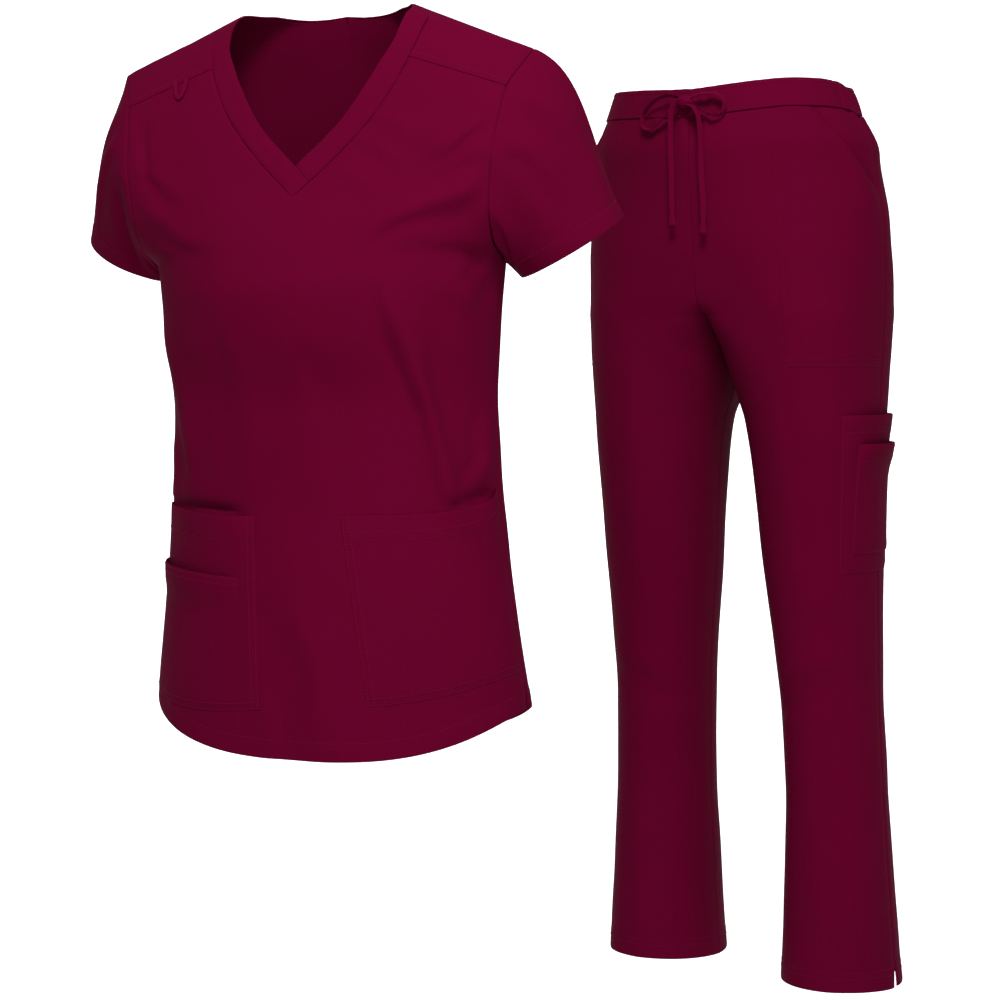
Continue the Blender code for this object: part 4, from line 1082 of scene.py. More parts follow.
def cloth_material(name, colour, ribs, bump, sheen):
    """A woven material: the weave group feeds colour, roughness and bump."""
    material = bpy.data.materials.get(name)
    if material:
        return material
    material = new_material(
        name, Specular_IOR_Level=0.02, Specular_Tint=(1.0, 0.04, 0.30, 1.0),
        Sheen_Weight=sheen, Sheen_Roughness=0.4, Sheen_Tint=(1.0, 0.10, 0.34, 1.0))
    tree = material.node_tree
    shader = tree.nodes["Principled BSDF"]
    weave = tree.nodes.new("ShaderNodeGroup")
    weave.node_tree = bpy.data.node_groups.get("Twill weave") or make_weave_group()
    weave.inputs["Ribs"].default_value = ribs
    weave.inputs["Colour"].default_value = (*colour, 1.0)
    cloth_map = tree.nodes.new("ShaderNodeUVMap")
    cloth_map.uv_map = "cloth"
    place = tree.nodes.new("ShaderNodeTexCoord")
    relief = tree.nodes.new("ShaderNodeBump")
    relief.inputs["Strength"].default_value = bump
    relief.inputs["Distance"].default_value = 0.00012
    for source, output, target, socket in (
        (cloth_map, "UV", weave, "Cloth"), (place, "Object", weave, "Place"),
        (weave, "Height", relief, "Height"), (weave, "Colour", shader, "Base Color"),
        (weave, "Roughness", shader, "Roughness"), (relief, "Normal", shader, "Normal"),
    ):
        tree.links.new(source.outputs[output], target.inputs[socket])
    return material


def twill():
    colours = bpy.context.scene.scrubs_colours
    return cloth_material("wine twill", colours.cloth, 2600.0, 0.5, colours.sheen)


def cord_weave():
    return cloth_material("wine cord", bpy.context.scene.scrubs_colours.cord, 3400.0, 0.8, 0.10)


def thread_material():
    colours = bpy.context.scene.scrubs_colours
    return cloth_material("sewing thread", colours.thread, 9000.0, 0.3, 0.10)


# --------------------------------------------------------------------- pieces

# Points within the garments, which tell which way is out from the cloth beside them.

def top_axis(point):
    return Vector((0.0, 0.0, min(point.z, -0.12)))


def side_name(side):
    return "left" if side > 0 else "right"


def leg_axis(side):
    def axis(point):
        row = leg_row(min(point.z, WAIST_SEAM))
        return Vector((side * row.leg_x, row.centre_y, point.z))

    return axis


def pitch():
    return bpy.context.scene.scrubs_cloth.pitch


def tucked(surface, start):
    """The surface with its allowance above this line tucked behind the piece next to it."""
    def with_allowance(across, down):
        point = surface(across, down)
        if down < start - 0.0001:
            point.y += ALLOWANCE_BEHIND
        return point

    return with_allowance


def make_top_body():
    cloth = bpy.context.scene.scrubs_cloth
    hem = Edge("hem", TOP_HEM)
    neck = BACK_NECK[-1].down
    tip = apex_down()
    fine = pitch() * 0.72
    front_rows = [YOKE_DOWN - 0.007, YOKE_DOWN - 0.0012]
    front_rows += stations(YOKE_DOWN, tip, tip - YOKE_DOWN, SEAM, JOIN, fine)
    front_rows += stations(tip, HEM_DOWN, HEM_DOWN - tip, JOIN, hem, fine)[1:]
    back_rows = stations(0.0, neck, neck, SEAM, JOIN, 0.0035)
    back_rows += stations(neck, HEM_DOWN, HEM_DOWN - neck, JOIN, hem, pitch())[1:]
    yoke_rows = stations(0.0, YOKE_DOWN, YOKE_DOWN, SEAM, STITCHED, 0.004)
    across = stations(0.0, 1.0, HALF_PANEL_WIDTH, SEAM, SEAM, fine)
    yoke_across = stations(0.0, 1.0, YOKE_WIDTH, SEAM, SEAM, pitch())
    for node, rows, inner, downs in (
        ("top_front", TOP_FRONT, front_inner, front_rows),
        ("top_back", TOP_BACK, back_inner, back_rows),
    ):
        start = YOKE_DOWN if rows is TOP_FRONT else 0.0
        grids = [
            NeckedGrid(tucked(half_panel(rows, inner, side), start), across, downs,
                       (SEAM, SEAM, SEAM, hem), top_axis)
            for side in (1, -1)
        ]
        sew(node, grids, TOP, top_axis, twill(), cloth.wall)
    for side in (1, -1):
        grid = ClothGrid(half_panel(TOP_FRONT, front_inner, side), yoke_across, yoke_rows,
                         (SEAM, SEAM, SEAM, STITCHED), top_axis)
        sew("top_yoke_" + side_name(side), [grid], TOP, top_axis, twill(), cloth.wall)


class NeckedGrid(ClothGrid):
    """A half panel whose last column is a neckline edge above and the middle line below."""

    def edges_at(self, line):
        first, last, top, low = self.edges
        at_neck = abs(self.base[-1][line].x) > 1e-6
        return first, last if at_neck else JOIN, top, low


def make_neck_band(side):
    """One half of the doubled band; the right half laps over the left at the point of the V."""
    steps = 60
    tip = apex_down()
    outer = []
    for down in spread(0.0, tip, steps):
        x = front_inner(down)
        outer.append((x, panel_point(TOP_FRONT, across_at(TOP_FRONT, x, down), down).z))
    if side > 0:
        outer = [point for point in outer if point[1] > LAP_END[1]]
        outer.append((LAP_END[0] + 0.0002, LAP_END[1] + 0.0002))
        heights = spread(NECK_EDGE[0].height, NECK_EDGE[-1].height + 0.0002, len(outer) - 1)
        inner = [(neck_half_width(NECK_EDGE, height), height) for height in heights]
        inner[-1] = (0.0003, NECK_EDGE[-1].height + 0.0003)
    else:
        tail = 5
        heights = spread(NECK_EDGE[0].height, NECK_EDGE[-1].height, len(outer) - 1 - tail)
        inner = [(neck_half_width(NECK_EDGE, height), height) for height in heights]
        inner += [(-LAP_END[0] * k / tail, NECK_EDGE[-1].height
                   + (LAP_END[1] - NECK_EDGE[-1].height) * k / tail) for k in range(1, tail + 1)]

    def surface(across, index):
        start, end = inner[index], outer[index]
        x = start[0] + (end[0] - start[0]) * across
        z = start[1] + (end[1] - start[1]) * across
        return lifted(*place_on_front(x * side, z), NECK_BAND_PROUD)

    turned = Edge("fold", 0.0025)
    across = stations(0.0, 1.0, NECK_BAND_WIDTH, turned, turned, 0.004)
    edges = (turned, Edge("seam", turned.width), SEAM, FOLDED)
    grid = ClothGrid(surface, across, list(range(len(inner))), edges, top_axis)
    sew("neck_band_" + side_name(side), [grid], TOP, top_axis, twill(), DOUBLED_WALL)


def make_sleeve(side):
    hem = Edge("hem", SLEEVE_HEM)
    along = stations(0.0, 1.0, SLEEVE_LENGTH, SEAM, hem, pitch())

    def surface(turn, share):
        point = sleeve_point(side, turn, share)
        return Vector((point.x * side, point.y, point.z))

    def sleeve_axis(point):
        axis = SLEEVES[side].cuff_centre - ARMHOLE_CENTRE
        middle = Vector((ARMHOLE_CENTRE.x * side, ARMHOLE_CENTRE.y, ARMHOLE_CENTRE.z))
        line = Vector((axis.x * side, axis.y, axis.z)).normalized()
        return middle + line * (point - middle).dot(line)

    grid = ClothGrid(surface, spread(0.0, 1.0, SLEEVE_COLUMNS), along, (JOIN, JOIN, SEAM, hem),
                     sleeve_axis, closed=True)
    wall = bpy.context.scene.scrubs_cloth.wall
    sew("sleeve_" + side_name(side), [grid], TOP, sleeve_axis, twill(), wall)


def make_patch(node, corners, side, layer, mouth):
    """A pocket on the top; layer 2 lies over layer 1 along its mouth and behind it below."""
    wall = bpy.context.scene.scrubs_cloth.patch_wall
    proud = layer * (LAYER_GAP + wall)
    places = [place_on_front(x * side, z)[:2] for x, z in corners]
    hem = Edge("hem", POCKET_HEM)

    def surface(over, fall):
        across, down = (
            (top_inner * (1 - over) + top_outer * over) * (1 - fall)
            + (low_inner * (1 - over) + low_outer * over) * fall
            for top_inner, top_outer, low_inner, low_outer in zip(*places)
        )
        gape = mouth.gape * bell(over - mouth.middle, mouth.reach) * (1 - smoothstep(fall / 0.4))
        gape *= smoothstep(over * 8) * smoothstep((1 - over) * 8)
        shown = 1.0
        if layer == 2:
            shown = (1 - smoothstep(fall / 0.3)) * smoothstep(over * 12)
        sewn = smoothstep(over * 22) * smoothstep((1 - fall) * 26)
        sunk = 0.0016 * (1 - shown) + 0.0007 * (1 - sewn)
        sag = mouth.sag * math.sin(math.pi * over ** 1.3) * (1 - smoothstep(fall / 0.5))
        return lifted(across, down + sag + 0.25 * gape, side, proud - sunk + gape)

    across = stations(0.0, 1.0, PATCH_WIDTH, PATCH_EDGE, SEAM, pitch())
    fall = stations(0.0, 1.0, PATCH_LENGTH, hem, PATCH_EDGE, pitch())
    grid = ClothGrid(surface, across, fall, (PATCH_EDGE, SEAM, hem, PATCH_EDGE), top_axis)
    sew(node, [grid], TOP, top_axis, twill(), wall)


def make_badge_loop():
    half_width, drop, opening = 0.0080, 0.0200, 0.0035

    def surface(turn, across):
        angle = math.pi * turn
        radius = half_width - (half_width - opening) * across
        x = BADGE_LOOP[0] + radius * math.cos(angle)
        z = BADGE_LOOP[1] - (drop - (half_width - radius)) * math.sin(angle)
        return lifted(*place_on_front(x, z), LOOP_PROUD)

    grid = ClothGrid(surface, spread(0.0, 1.0, 28), spread(0.0, 1.0, 4),
                     (JOIN, JOIN, FOLDED, FOLDED), top_axis)
    sew("badge_loop", [grid], TOP, top_axis, cord_weave(), LOOP_WALL)


def make_leg(side, front):
    hem = Edge("hem", LEG_HEM)
    heights = stations(WAIST_SEAM, CROTCH, WAIST_SEAM - CROTCH, SEAM, JOIN, 0.006)
    heights += stations(CROTCH, TROUSER_HEM, CROTCH - TROUSER_HEM, JOIN, hem, pitch())[1:]
    across = stations(0.0, 1.0, LEG_PANEL_WIDTH, SEAM, SEAM, pitch())
    middle = JOIN if front else SEAM
    grid = ClothGrid(leg_surface(side, front), across, heights, (SEAM, middle, SEAM, hem),
                     leg_axis(side))
    node = "trouser_{}_{}".format("front" if front else "back", side_name(side))
    wall = bpy.context.scene.scrubs_cloth.wall
    sew(node, [grid], TROUSERS, leg_axis(side), twill(), wall)


def band_rises():
    """Rows of the waistband, from the allowance tucked behind the legs up to its top."""
    return [-0.30, -0.12, -0.02] + stations(0.0, 1.0, BAND_HEIGHT, SEAM, PATCH_EDGE, 0.004)


def make_waistband_front():
    def surface(turn, rise):
        if rise < 0:
            return waist_point(turn, rise, -ALLOWANCE_SUNK)
        point = waist_point(turn, rise, BAND_PROUD)
        pull = 0.0009 * math.cos(point.x * 520) * bell(point.x, 0.035)
        pull += 0.0006 * math.sin(point.x * 260 + 1) * bell(point.x, 0.06)
        pull *= math.sin(math.pi * min(max(rise, 0.0), 1.0)) ** 0.5
        return point + Vector((0.0, -1.0, 0.0)) * pull

    turns = spread(ELASTIC_START + 0.05, 180 - ELASTIC_START - 0.05, FRONT_BAND_COLUMNS)
    grid = ClothGrid(surface, turns, band_rises(), (SEAM, SEAM, JOIN, PATCH_EDGE), leg_axis(0))
    sew("waistband_front", [grid], TROUSERS, leg_axis(0), twill(), DOUBLED_WALL)


def make_waistband_back():
    """The elastic part: uneven gathers that are deepest halfway up the band."""
    start, end = 180 - ELASTIC_START + 0.05, 360 + ELASTIC_START - 0.05

    def surface(turn, rise):
        if rise < 0:
            return waist_point(turn, rise, -ALLOWANCE_SUNK)
        share = (turn - start) / (end - start)
        beat = share * GATHERS * 2 * math.pi
        sway = 1.2 * math.sin(beat / 7.3) + 0.8 * math.sin(beat / 3.1 + 2)
        depth = 0.0009 + 0.0003 * math.sin(beat / 4.7 + 1)
        wave = math.sin(beat + sway) + 0.25 * math.sin(2.3 * beat + 3 * rise)
        edge = smoothstep(share * 60) * smoothstep((1 - share) * 60)
        full = 0.28 + 0.72 * math.sin(math.pi * min(max(rise, 0.0), 1.0))
        return waist_point(turn, rise, BAND_PROUD + depth * wave * edge * full)

    grid = ClothGrid(surface, spread(start, end, BACK_BAND_COLUMNS), band_rises(),
                     (SEAM, SEAM, JOIN, PATCH_EDGE), leg_axis(0))
    sew("waistband_back", [grid], TROUSERS, leg_axis(0), twill(), DOUBLED_WALL,
        ELASTIC_FULLNESS)


def make_hip_pocket(side):
    """A patch from the waist seam down, whose outer top corner is cut off by the mouth."""
    wall = bpy.context.scene.scrubs_cloth.patch_wall
    top = WAIST_SEAM - 0.0003
    proud = 0.0005 if side > 0 else 0.0003
    at_seam = math.radians(1)

    def surface(over, fall):
        slant = max(0.0, (over - HIP_SLASH_SHARE) / (1 - HIP_SLASH_SHARE))
        start = top + (HIP_SLASH_END - top) * (1 - (1 - slant) ** 1.5)
        height = start + (HIP_POCKET_BOTTOM - start) * fall
        depth = (top - height) / (top - HIP_POCKET_BOTTOM)
        inner_x = HIP_POCKET_INNER[0] + (HIP_POCKET_INNER[1] - HIP_POCKET_INNER[0]) * depth
        angle = front_angle(inner_x, height) * (1 - over) + at_seam * over
        gape = HIP_MOUTH * math.sin(math.pi * slant) ** 2 * (1 - smoothstep(fall / 0.4))
        return leg_point(side, True, angle, height, proud + gape)

    across = stations(0.0, HIP_SLASH_SHARE, 0.055, PATCH_EDGE, JOIN, pitch())
    across += stations(HIP_SLASH_SHARE, 1.0, 0.085, JOIN, SEAM, pitch())[1:]
    fall = stations(0.0, 1.0, HIP_POCKET_LENGTH, PATCH_EDGE, PATCH_EDGE, pitch())
    grid = ClothGrid(surface, across, fall, (PATCH_EDGE, SEAM, PATCH_EDGE, PATCH_EDGE),
                     leg_axis(side))
    sew("hip_pocket_" + side_name(side), [grid], TROUSERS, leg_axis(side), twill(), wall)


def make_cargo_pocket(node, shape, layer):
    """A pocket that wraps round the side seam of the left leg."""
    wall = bpy.context.scene.scrubs_cloth.patch_wall
    proud = layer * (LAYER_GAP + wall)
    hem = Edge("hem", CARGO_HEM)

    def surface(over, height):
        fall = (shape.top - height) / (shape.top - shape.bottom)
        front_edge = shape.front_top + (shape.front_bottom - shape.front_top) * fall
        turn = front_edge * over if over > 0 else shape.back * over
        angle = math.radians(abs(turn))
        gape = shape.mouth * (1 - smoothstep(fall / 0.35)) * math.cos(math.radians(turn)) ** 4
        gape *= smoothstep((1 - abs(over)) * 5)
        sewn = smoothstep((1 - abs(over)) * 9) * smoothstep((1 - fall) * 22)
        return leg_point(1, turn >= 0, angle, height, proud + gape - 0.0008 * (1 - sewn))

    across = stations(-1.0, 1.0, PATCH_WIDTH, PATCH_EDGE, PATCH_EDGE, pitch())
    heights = stations(shape.top, shape.bottom, shape.top - shape.bottom, hem, PATCH_EDGE,
                       pitch())
    grid = ClothGrid(surface, across, heights, (PATCH_EDGE, PATCH_EDGE, hem, PATCH_EDGE),
                     leg_axis(1))
    sew(node, [grid], TROUSERS, leg_axis(1), twill(), wall)


def smooth_route(points, count):
    """Evenly spaced points on a smooth line through the route."""
    points = [Vector(point) for point in points]
    lengths = travelled(points)
    return [
        Vector([smooth_value(lengths, values, place) for values in zip(*points)])
        for place in spread(0.0, lengths[-1], count)
    ]


def squarer(value):
    """A sine or cosine drawn out, so that a ring of them has flatter sides."""
    return math.copysign(abs(value) ** 0.6, value)


def make_tape(route):
    """A flat woven tape along its route, lying with its broad side outwards."""
    sizes = bpy.context.scene.scrubs_cord
    line = smooth_route(route.points, 48 if route.far_end == "bare" else 40)
    around = TAPE_SIDES
    mesh = bmesh.new()
    layer = mesh.loops.layers.uv.new("cloth")
    made = bmesh.ops.create_grid(mesh, x_segments=around, y_segments=len(line) - 1, size=0.5)
    place = {}
    lengths = travelled(line)
    for vert in made["verts"]:
        i = round((vert.co.x + 0.5) * around)
        j = round((vert.co.y + 0.5) * (len(line) - 1))
        place[vert] = (i, j)
        along = (line[min(j + 1, len(line) - 1)] - line[max(j - 1, 0)]).normalized()
        flat = along.cross(Vector((0.0, -1.0, 0.0))).normalized()
        out = flat.cross(along).normalized()
        share = smoothstep(lengths[j] / lengths[-1] * 1.15)
        twist = math.radians(route.turn_start + (route.turn_end - route.turn_start) * share)
        broad = flat * math.cos(twist) + out * math.sin(twist)
        thick = out * math.cos(twist) - flat * math.sin(twist)
        angle = 2 * math.pi * i / around
        narrow = 1.0
        if route.far_end == "bare":
            left = lengths[-1] - lengths[j]
            narrow = 1.0 + 0.22 * bell(left, 0.005) - 0.25 * bell(left - 0.013, 0.003)
        across = sizes.width / 2 * narrow * squarer(math.cos(angle))
        deep = sizes.thickness / 2 * squarer(math.sin(angle))
        vert.co = line[j] + broad * across + thick * deep
    for face in mesh.faces:
        for loop in face.loops:
            i, j = place[loop.vert]
            loop[layer].uv = (i / around * 0.018, lengths[j])
    bmesh.ops.remove_doubles(mesh, verts=mesh.verts, dist=1e-6)
    bmesh.ops.holes_fill(mesh, edges=mesh.edges, sides=around)
    bmesh.ops.recalc_face_normals(mesh, faces=mesh.faces)
    mesh.transform(TROUSERS)
    tape = add_object(route.node + "_tape", mesh, cord_weave())
    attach(tape, "root")
    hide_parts(route.node)
    path = [TROUSERS @ point for point in line]
    tuple(path[0])
    [tuple(point) for point in path]


def map_flat(mesh, layer):
    """The cloth map of small things: their place as seen from the front."""
    for face in mesh.faces:
        for loop in face.loops:
            loop[layer].uv = (loop.vert.co.x, loop.vert.co.z)


def make_knot():
    """The bow's knot: a pillow of tape with a wrap of tape over its middle."""
    mesh = bmesh.new()
    layer = mesh.loops.layers.uv.new("cloth")
    bmesh.ops.create_uvsphere(mesh, u_segments=36, v_segments=24, radius=1.0)
    for vert in mesh.verts:
        x, y, z = vert.co
        groove = 1 - 0.16 * bell(x - 0.55 * z, 0.16) - 0.12 * bell(x + 0.5 * z + 0.9, 0.2)
        wrap = 1 + 0.13 * smoothstep((0.42 - abs(x - 0.25 * z)) / 0.1)
        vert.co = Vector((x * KNOT_SIZE.x, y * KNOT_SIZE.y * wrap * groove,
                          z * KNOT_SIZE.z * wrap)) + KNOT_CENTRE
    map_flat(mesh, layer)
    mesh.transform(TROUSERS)
    knot = add_object("drawstring_knot_tape", mesh, cord_weave())
    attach(knot, "root")
    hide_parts("drawstring_knot")


# ------------------------------------------------------------------- stitches

# Rows of stitches: the piece, which of its edges they follow and how far in.
StitchRows = namedtuple("StitchRows", "node edge insets")
TOP_STITCHES = named_rows(
    StitchRows,
    ("top_front", "low", (TOP_HEM,)),
    ("top_back", "low", (TOP_HEM,)),
    ("top_yoke_left", "low", (0.0055,)),
    ("top_yoke_right", "low", (0.0055,)),
    ("sleeve_left", "low", (SLEEVE_HEM,)),
    ("sleeve_right", "low", (SLEEVE_HEM,)),
    ("top_pocket_left", "first", (0.0020, 0.0078)),
    ("top_pocket_left", "low", (0.0020, 0.0078)),
    ("top_pocket_left", "top", (SECOND_ROW, POCKET_HEM)),
    ("top_pocket_right", "first", (0.0020, 0.0078)),
    ("top_pocket_right", "top", (POCKET_HEM,)),
    ("top_pocket_right", "low", (0.0020, 0.0078)),
    ("top_pocket_right_slot", "top", (0.0022, 0.0080)),
)
TROUSER_STITCHES = named_rows(
    StitchRows,
    ("trouser_front_left", "low", (LEG_HEM, SECOND_ROW)),
    ("trouser_front_right", "low", (LEG_HEM, SECOND_ROW)),
    ("trouser_back_left", "low", (LEG_HEM, SECOND_ROW)),
    ("trouser_back_right", "low", (LEG_HEM, SECOND_ROW)),
    ("waistband_front", "low", (0.0030,)),
    ("waistband_back", "low", (0.0030,)),
    ("hip_pocket_left", "low", (0.0020, 0.0080)),
    ("cargo_pocket", "first", (0.0020,)),
    ("cargo_pocket", "last", (0.0020,)),
    ("cargo_pocket", "low", (0.0020,)),
    ("cargo_pocket", "top", (CARGO_HEM,)),
    ("cargo_pocket_small", "first", (0.0020,)),
    ("cargo_pocket_small", "last", (0.0020,)),
    ("cargo_pocket_small", "low", (0.0020,)),
    ("cargo_pocket_small", "top", (CARGO_HEM,)),
)


def stitch_line(line, inner_by=0.0):
    """One row of stitches along points and normals; inner_by puts it on the inside."""
    sizes = bpy.context.scene.scrubs_stitches
    step = sizes.stitch + sizes.gap
    lengths = travelled([point for point, _ in line])
    mesh = bmesh.new()
    index = 0
    place = step / 2
    while place < lengths[-1] - step / 2:
        while lengths[index + 1] < place:
            index += 1
        (a, out_a), (b, out_b) = line[index], line[index + 1]
        share = (place - lengths[index]) / max(lengths[index + 1] - lengths[index], 1e-9)
        along = (b - a).normalized()
        out = out_a.lerp(out_b, share).normalized()
        side = out.cross(along).normalized()
        centre = a.lerp(b, share) + out * (sizes.thread * 0.12 - inner_by)
        turn = Matrix((along, side, out)).transposed().to_4x4()
        scale = Matrix.Diagonal((sizes.stitch / 2, sizes.thread / 2, sizes.thread / 2, 1.0))
        bmesh.ops.create_uvsphere(mesh, u_segments=5, v_segments=4, radius=1.0,
                                  matrix=Matrix.Translation(centre) @ turn @ scale)
        place += step
    return mesh


def make_stitches(name, rows, extra, place):
    """All the stitches of one garment, as one piece."""
    one_row = bpy.data.meshes.new("row of stitches")
    mesh = bmesh.new()
    lines = [(grid.inset(row.edge, inset), 0.0)
             for row in rows for inset in row.insets for grid in GRIDS[row.node]]
    for line, inner_by in lines + extra:
        if len(line) < 2:
            continue
        part = stitch_line(line, inner_by)
        part.to_mesh(one_row)
        part.free()
        mesh.from_mesh(one_row)
    bpy.data.meshes.remove(one_row)
    map_flat(mesh, mesh.loops.layers.uv.new("cloth"))
    mesh.transform(place)
    stitches = add_object(name, mesh, thread_material())
    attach(stitches, "root")


def back_neck_line():
    """The row that holds down the binding inside the back neck, 6.5 mm from the edge."""
    wall = bpy.context.scene.scrubs_cloth.wall
    line = []
    for grid in GRIDS["top_back"]:
        run = [pair for pair in grid.inset("last", 0.0065) if pair[0].z > -0.06]
        neck = [pair for pair, edge in zip(run, grid.points[-1]) if abs(edge.x) > 1e-6]
        line.append((neck, wall + 0.0001))
    return line


# ------------------------------------------------------------------ the studio

# A softbox's name, place, the point that it faces, its size and colour.
Softbox = namedtuple("Softbox", "name place target size colour")
OVERHEAD = Softbox("overhead softbox", (0.22, -1.5, 1.5), (0.12, 0.1, -0.40), (0.8, 0.6),
                   (1.0, 0.99, 0.98))
FRONT = Softbox("front softbox", (0.5, -3.0, -0.3), (0.2, 0.1, -0.60), (1.4, 1.4),
                (1.0, 1.0, 1.0))
# The floor and the backdrop: half their size, and their middle as (x, y).
FLOOR_HALF, FLOOR_MIDDLE = 9.0, (0.2, -7.9)
BACKDROP_HALF, BACKDROP_MIDDLE, BACKDROP_HEIGHT = 4.0, (0.2, 5.1), 3.2
LOWEST_HEM = -1.0


def make_camera():
    settings = bpy.context.scene.scrubs_studio
    data = bpy.data.cameras.new("camera")
    data.lens = settings.lens
    data.sensor_width = 36.0
    camera = bpy.data.objects.new("camera", data)
    camera.location = settings.camera_place
    camera.rotation_euler = (math.radians(90) - settings.camera_tilt, 0.0, 0.0)
    bpy.context.scene.collection.objects.link(camera)
    bpy.context.scene.camera = camera


def add_light(box, power):
    data = bpy.data.lights.new(box.name, "AREA")
    data.shape = "RECTANGLE"
    data.size, data.size_y = box.size
    data.energy = power
    data.color = box.colour
    light = bpy.data.objects.new(box.name, data)
    light.location = box.place
    aim = Vector(box.target) - Vector(box.place)
    light.rotation_euler = aim.to_track_quat("-Z", "Y").to_euler()
    bpy.context.scene.collection.objects.link(light)


def flat_square(size, place):
    mesh = bmesh.new()
    bmesh.ops.create_grid(mesh, x_segments=1, y_segments=1, size=size)
    bmesh.ops.translate(mesh, verts=mesh.verts, vec=place)
    return mesh


def make_stage():
    settings = bpy.context.scene.scrubs_studio
    scene = bpy.context.scene
    scene.view_settings.view_transform = "Standard"
    world = bpy.data.worlds.new("studio")
    world.use_nodes = True
    background = world.node_tree.nodes["Background"]
    background.inputs["Color"].default_value = (1.0, 1.0, 1.0, 1.0)
    background.inputs["Strength"].default_value = settings.surround
    scene.world = world
    level = LOWEST_HEM - settings.floor_gap
    paint = new_material("pale floor", Base_Color=(0.93, 0.93, 0.93, 1.0), Roughness=0.9,
                         Specular_IOR_Level=0.1)
    mesh = flat_square(FLOOR_HALF, (*FLOOR_MIDDLE, level))
    floor = add_object("floor", mesh, paint, smooth=False)
    mesh = flat_square(BACKDROP_HALF, (*BACKDROP_MIDDLE, level))
    far = [edge for edge in mesh.edges
           if min(vert.co.y for vert in edge.verts) > BACKDROP_MIDDLE[1]]
    raised = bmesh.ops.extrude_edge_only(mesh, edges=far)["geom"]
    bmesh.ops.translate(mesh, vec=(0.0, 0.0, BACKDROP_HEIGHT),
                        verts=[part for part in raised if isinstance(part, bmesh.types.BMVert)])
    glow = new_material("lit backdrop", Base_Color=(0.9, 0.9, 0.9, 1.0),
                        Emission_Color=(1.0, 1.0, 1.0, 1.0), Emission_Strength=1.0)
    backdrop = add_object("backdrop", mesh, glow, smooth=False)
    add_light(OVERHEAD, settings.key_power)
    add_light(FRONT, settings.fill_power)


# ------------------------------------------------------------------- settings

def length_setting(name, description, default, low, high, precision=5):
    return FloatProperty(name=name, description=description, default=default, min=low, max=high,
                         unit="LENGTH", precision=precision)


def colour_setting(name, description, default):
    return FloatVectorProperty(name=name, description=description, size=3, default=default,
                               min=0.0, max=1.0, subtype="COLOR")


class ClothSettings(bpy.types.PropertyGroup):
    """How the twill is laid and sewn."""

    wall: length_setting("Wall", "Thickness of one layer of twill", 0.0012, 0.0005, 0.003)
    patch_wall: length_setting("Patch wall", "Thickness of a sewn-on pocket",
                               0.0009, 0.0004, 0.003)
    pitch: length_setting("Grid pitch", "Distance between the lines of a piece's grid",
                          0.0065, 0.003, 0.03, 4)
    seam_dip: length_setting("Seam dip", "How far a piece sinks in beside a seam",
                             0.0009, 0.0, 0.002)
    pucker: length_setting("Pucker", "Height of the small ripples beside stitches",
                           0.0006, 0.0, 0.002)
    crease_strength: FloatProperty(name="Creases", description="Strength of the soft creases",
                                   default=1.5, min=0.0, max=2.0, subtype="FACTOR")


class CordSettings(bpy.types.PropertyGroup):
    """The flat woven drawstring."""

    width: length_setting("Width", "Width of the drawstring's tape", 0.0062, 0.003, 0.012, 4)
    thickness: length_setting("Thickness", "Thickness of the drawstring's tape",
                              0.0014, 0.0008, 0.004, 4)


class StitchSettings(bpy.types.PropertyGroup):
    """Sewing stitches."""

    stitch: length_setting("Stitch", "Length of one stitch", 0.0023, 0.001, 0.006, 4)
    gap: length_setting("Gap", "Gap between two stitches", 0.0005, 0.0002, 0.003, 4)
    thread: length_setting("Thread", "Thickness of the sewing thread", 0.00072, 0.0002, 0.0015)


class ColourSettings(bpy.types.PropertyGroup):
    """Colours of the cloth, cord and thread."""

    cloth: colour_setting("Twill", "Colour of the twill", (0.105, 0.0012, 0.0192))
    cord: colour_setting("Cord", "Colour of the drawstring", (0.115, 0.0012, 0.0215))
    thread: colour_setting("Thread", "Colour of the sewing thread", (0.165, 0.0055, 0.0370))
    sheen: FloatProperty(name="Sheen", description="Soft shine of the twill's fine fibres",
                         default=0.02, min=0.0, max=1.0, subtype="FACTOR")


class StudioSettings(bpy.types.PropertyGroup):
    """Camera, lights and floor."""

    camera_place: FloatVectorProperty(name="Camera place", description="Where the camera stands",
                                      size=3, default=(0.164, -2.13, -0.315), unit="LENGTH",
                                      subtype="TRANSLATION")
    camera_tilt: FloatProperty(name="Camera tilt", description="How far the camera looks down",
                               default=math.radians(3.8), unit="ROTATION", subtype="ANGLE")
    lens: FloatProperty(name="Lens", description="Focal length in millimetres", default=81.25,
                        min=10.0, max=300.0, unit="CAMERA")
    key_power: FloatProperty(name="Overhead power", description="Power of the overhead softbox",
                             default=54.0, min=0.0, unit="POWER")
    fill_power: FloatProperty(name="Front power", description="Power of the front softbox",
                              default=18.0, min=0.0, unit="POWER")
    surround: FloatProperty(name="Surround", description="Strength of the white surround",
                            default=0.32, min=0.0)
    floor_gap: FloatProperty(name="Floor gap",
                             description="Height of the lower hem over the floor", default=0.30,
                             min=0.0, unit="LENGTH")


# ------------------------------------------------------------------ operators

class SCRUBS_OT_stage(bpy.types.Operator):
    """Sets up the camera, the lights and the pale floor"""

    bl_idname = "scrubs.stage"
    bl_label = "Set up the studio"

    def execute(self, context):
        make_camera()
        make_stage()
        return {"FINISHED"}


class SCRUBS_OT_drawstring(bpy.types.Operator):
    """Lays the tied drawstring: two free ends, two loops and the knot"""

    bl_idname = "scrubs.drawstring"
    bl_label = "Drawstring"

    def execute(self, context):
        for route in CORD_ROUTES:
            make_tape(route)
        make_knot()
        return {"FINISHED"}


class SCRUBS_OT_top_body(bpy.types.Operator):
    """Sews the front, the back and the two yokes of the top"""

    bl_idname = "scrubs.top_body"
    bl_label = "Body of the top"

    def execute(self, context):
        make_top_body()
        return {"FINISHED"}


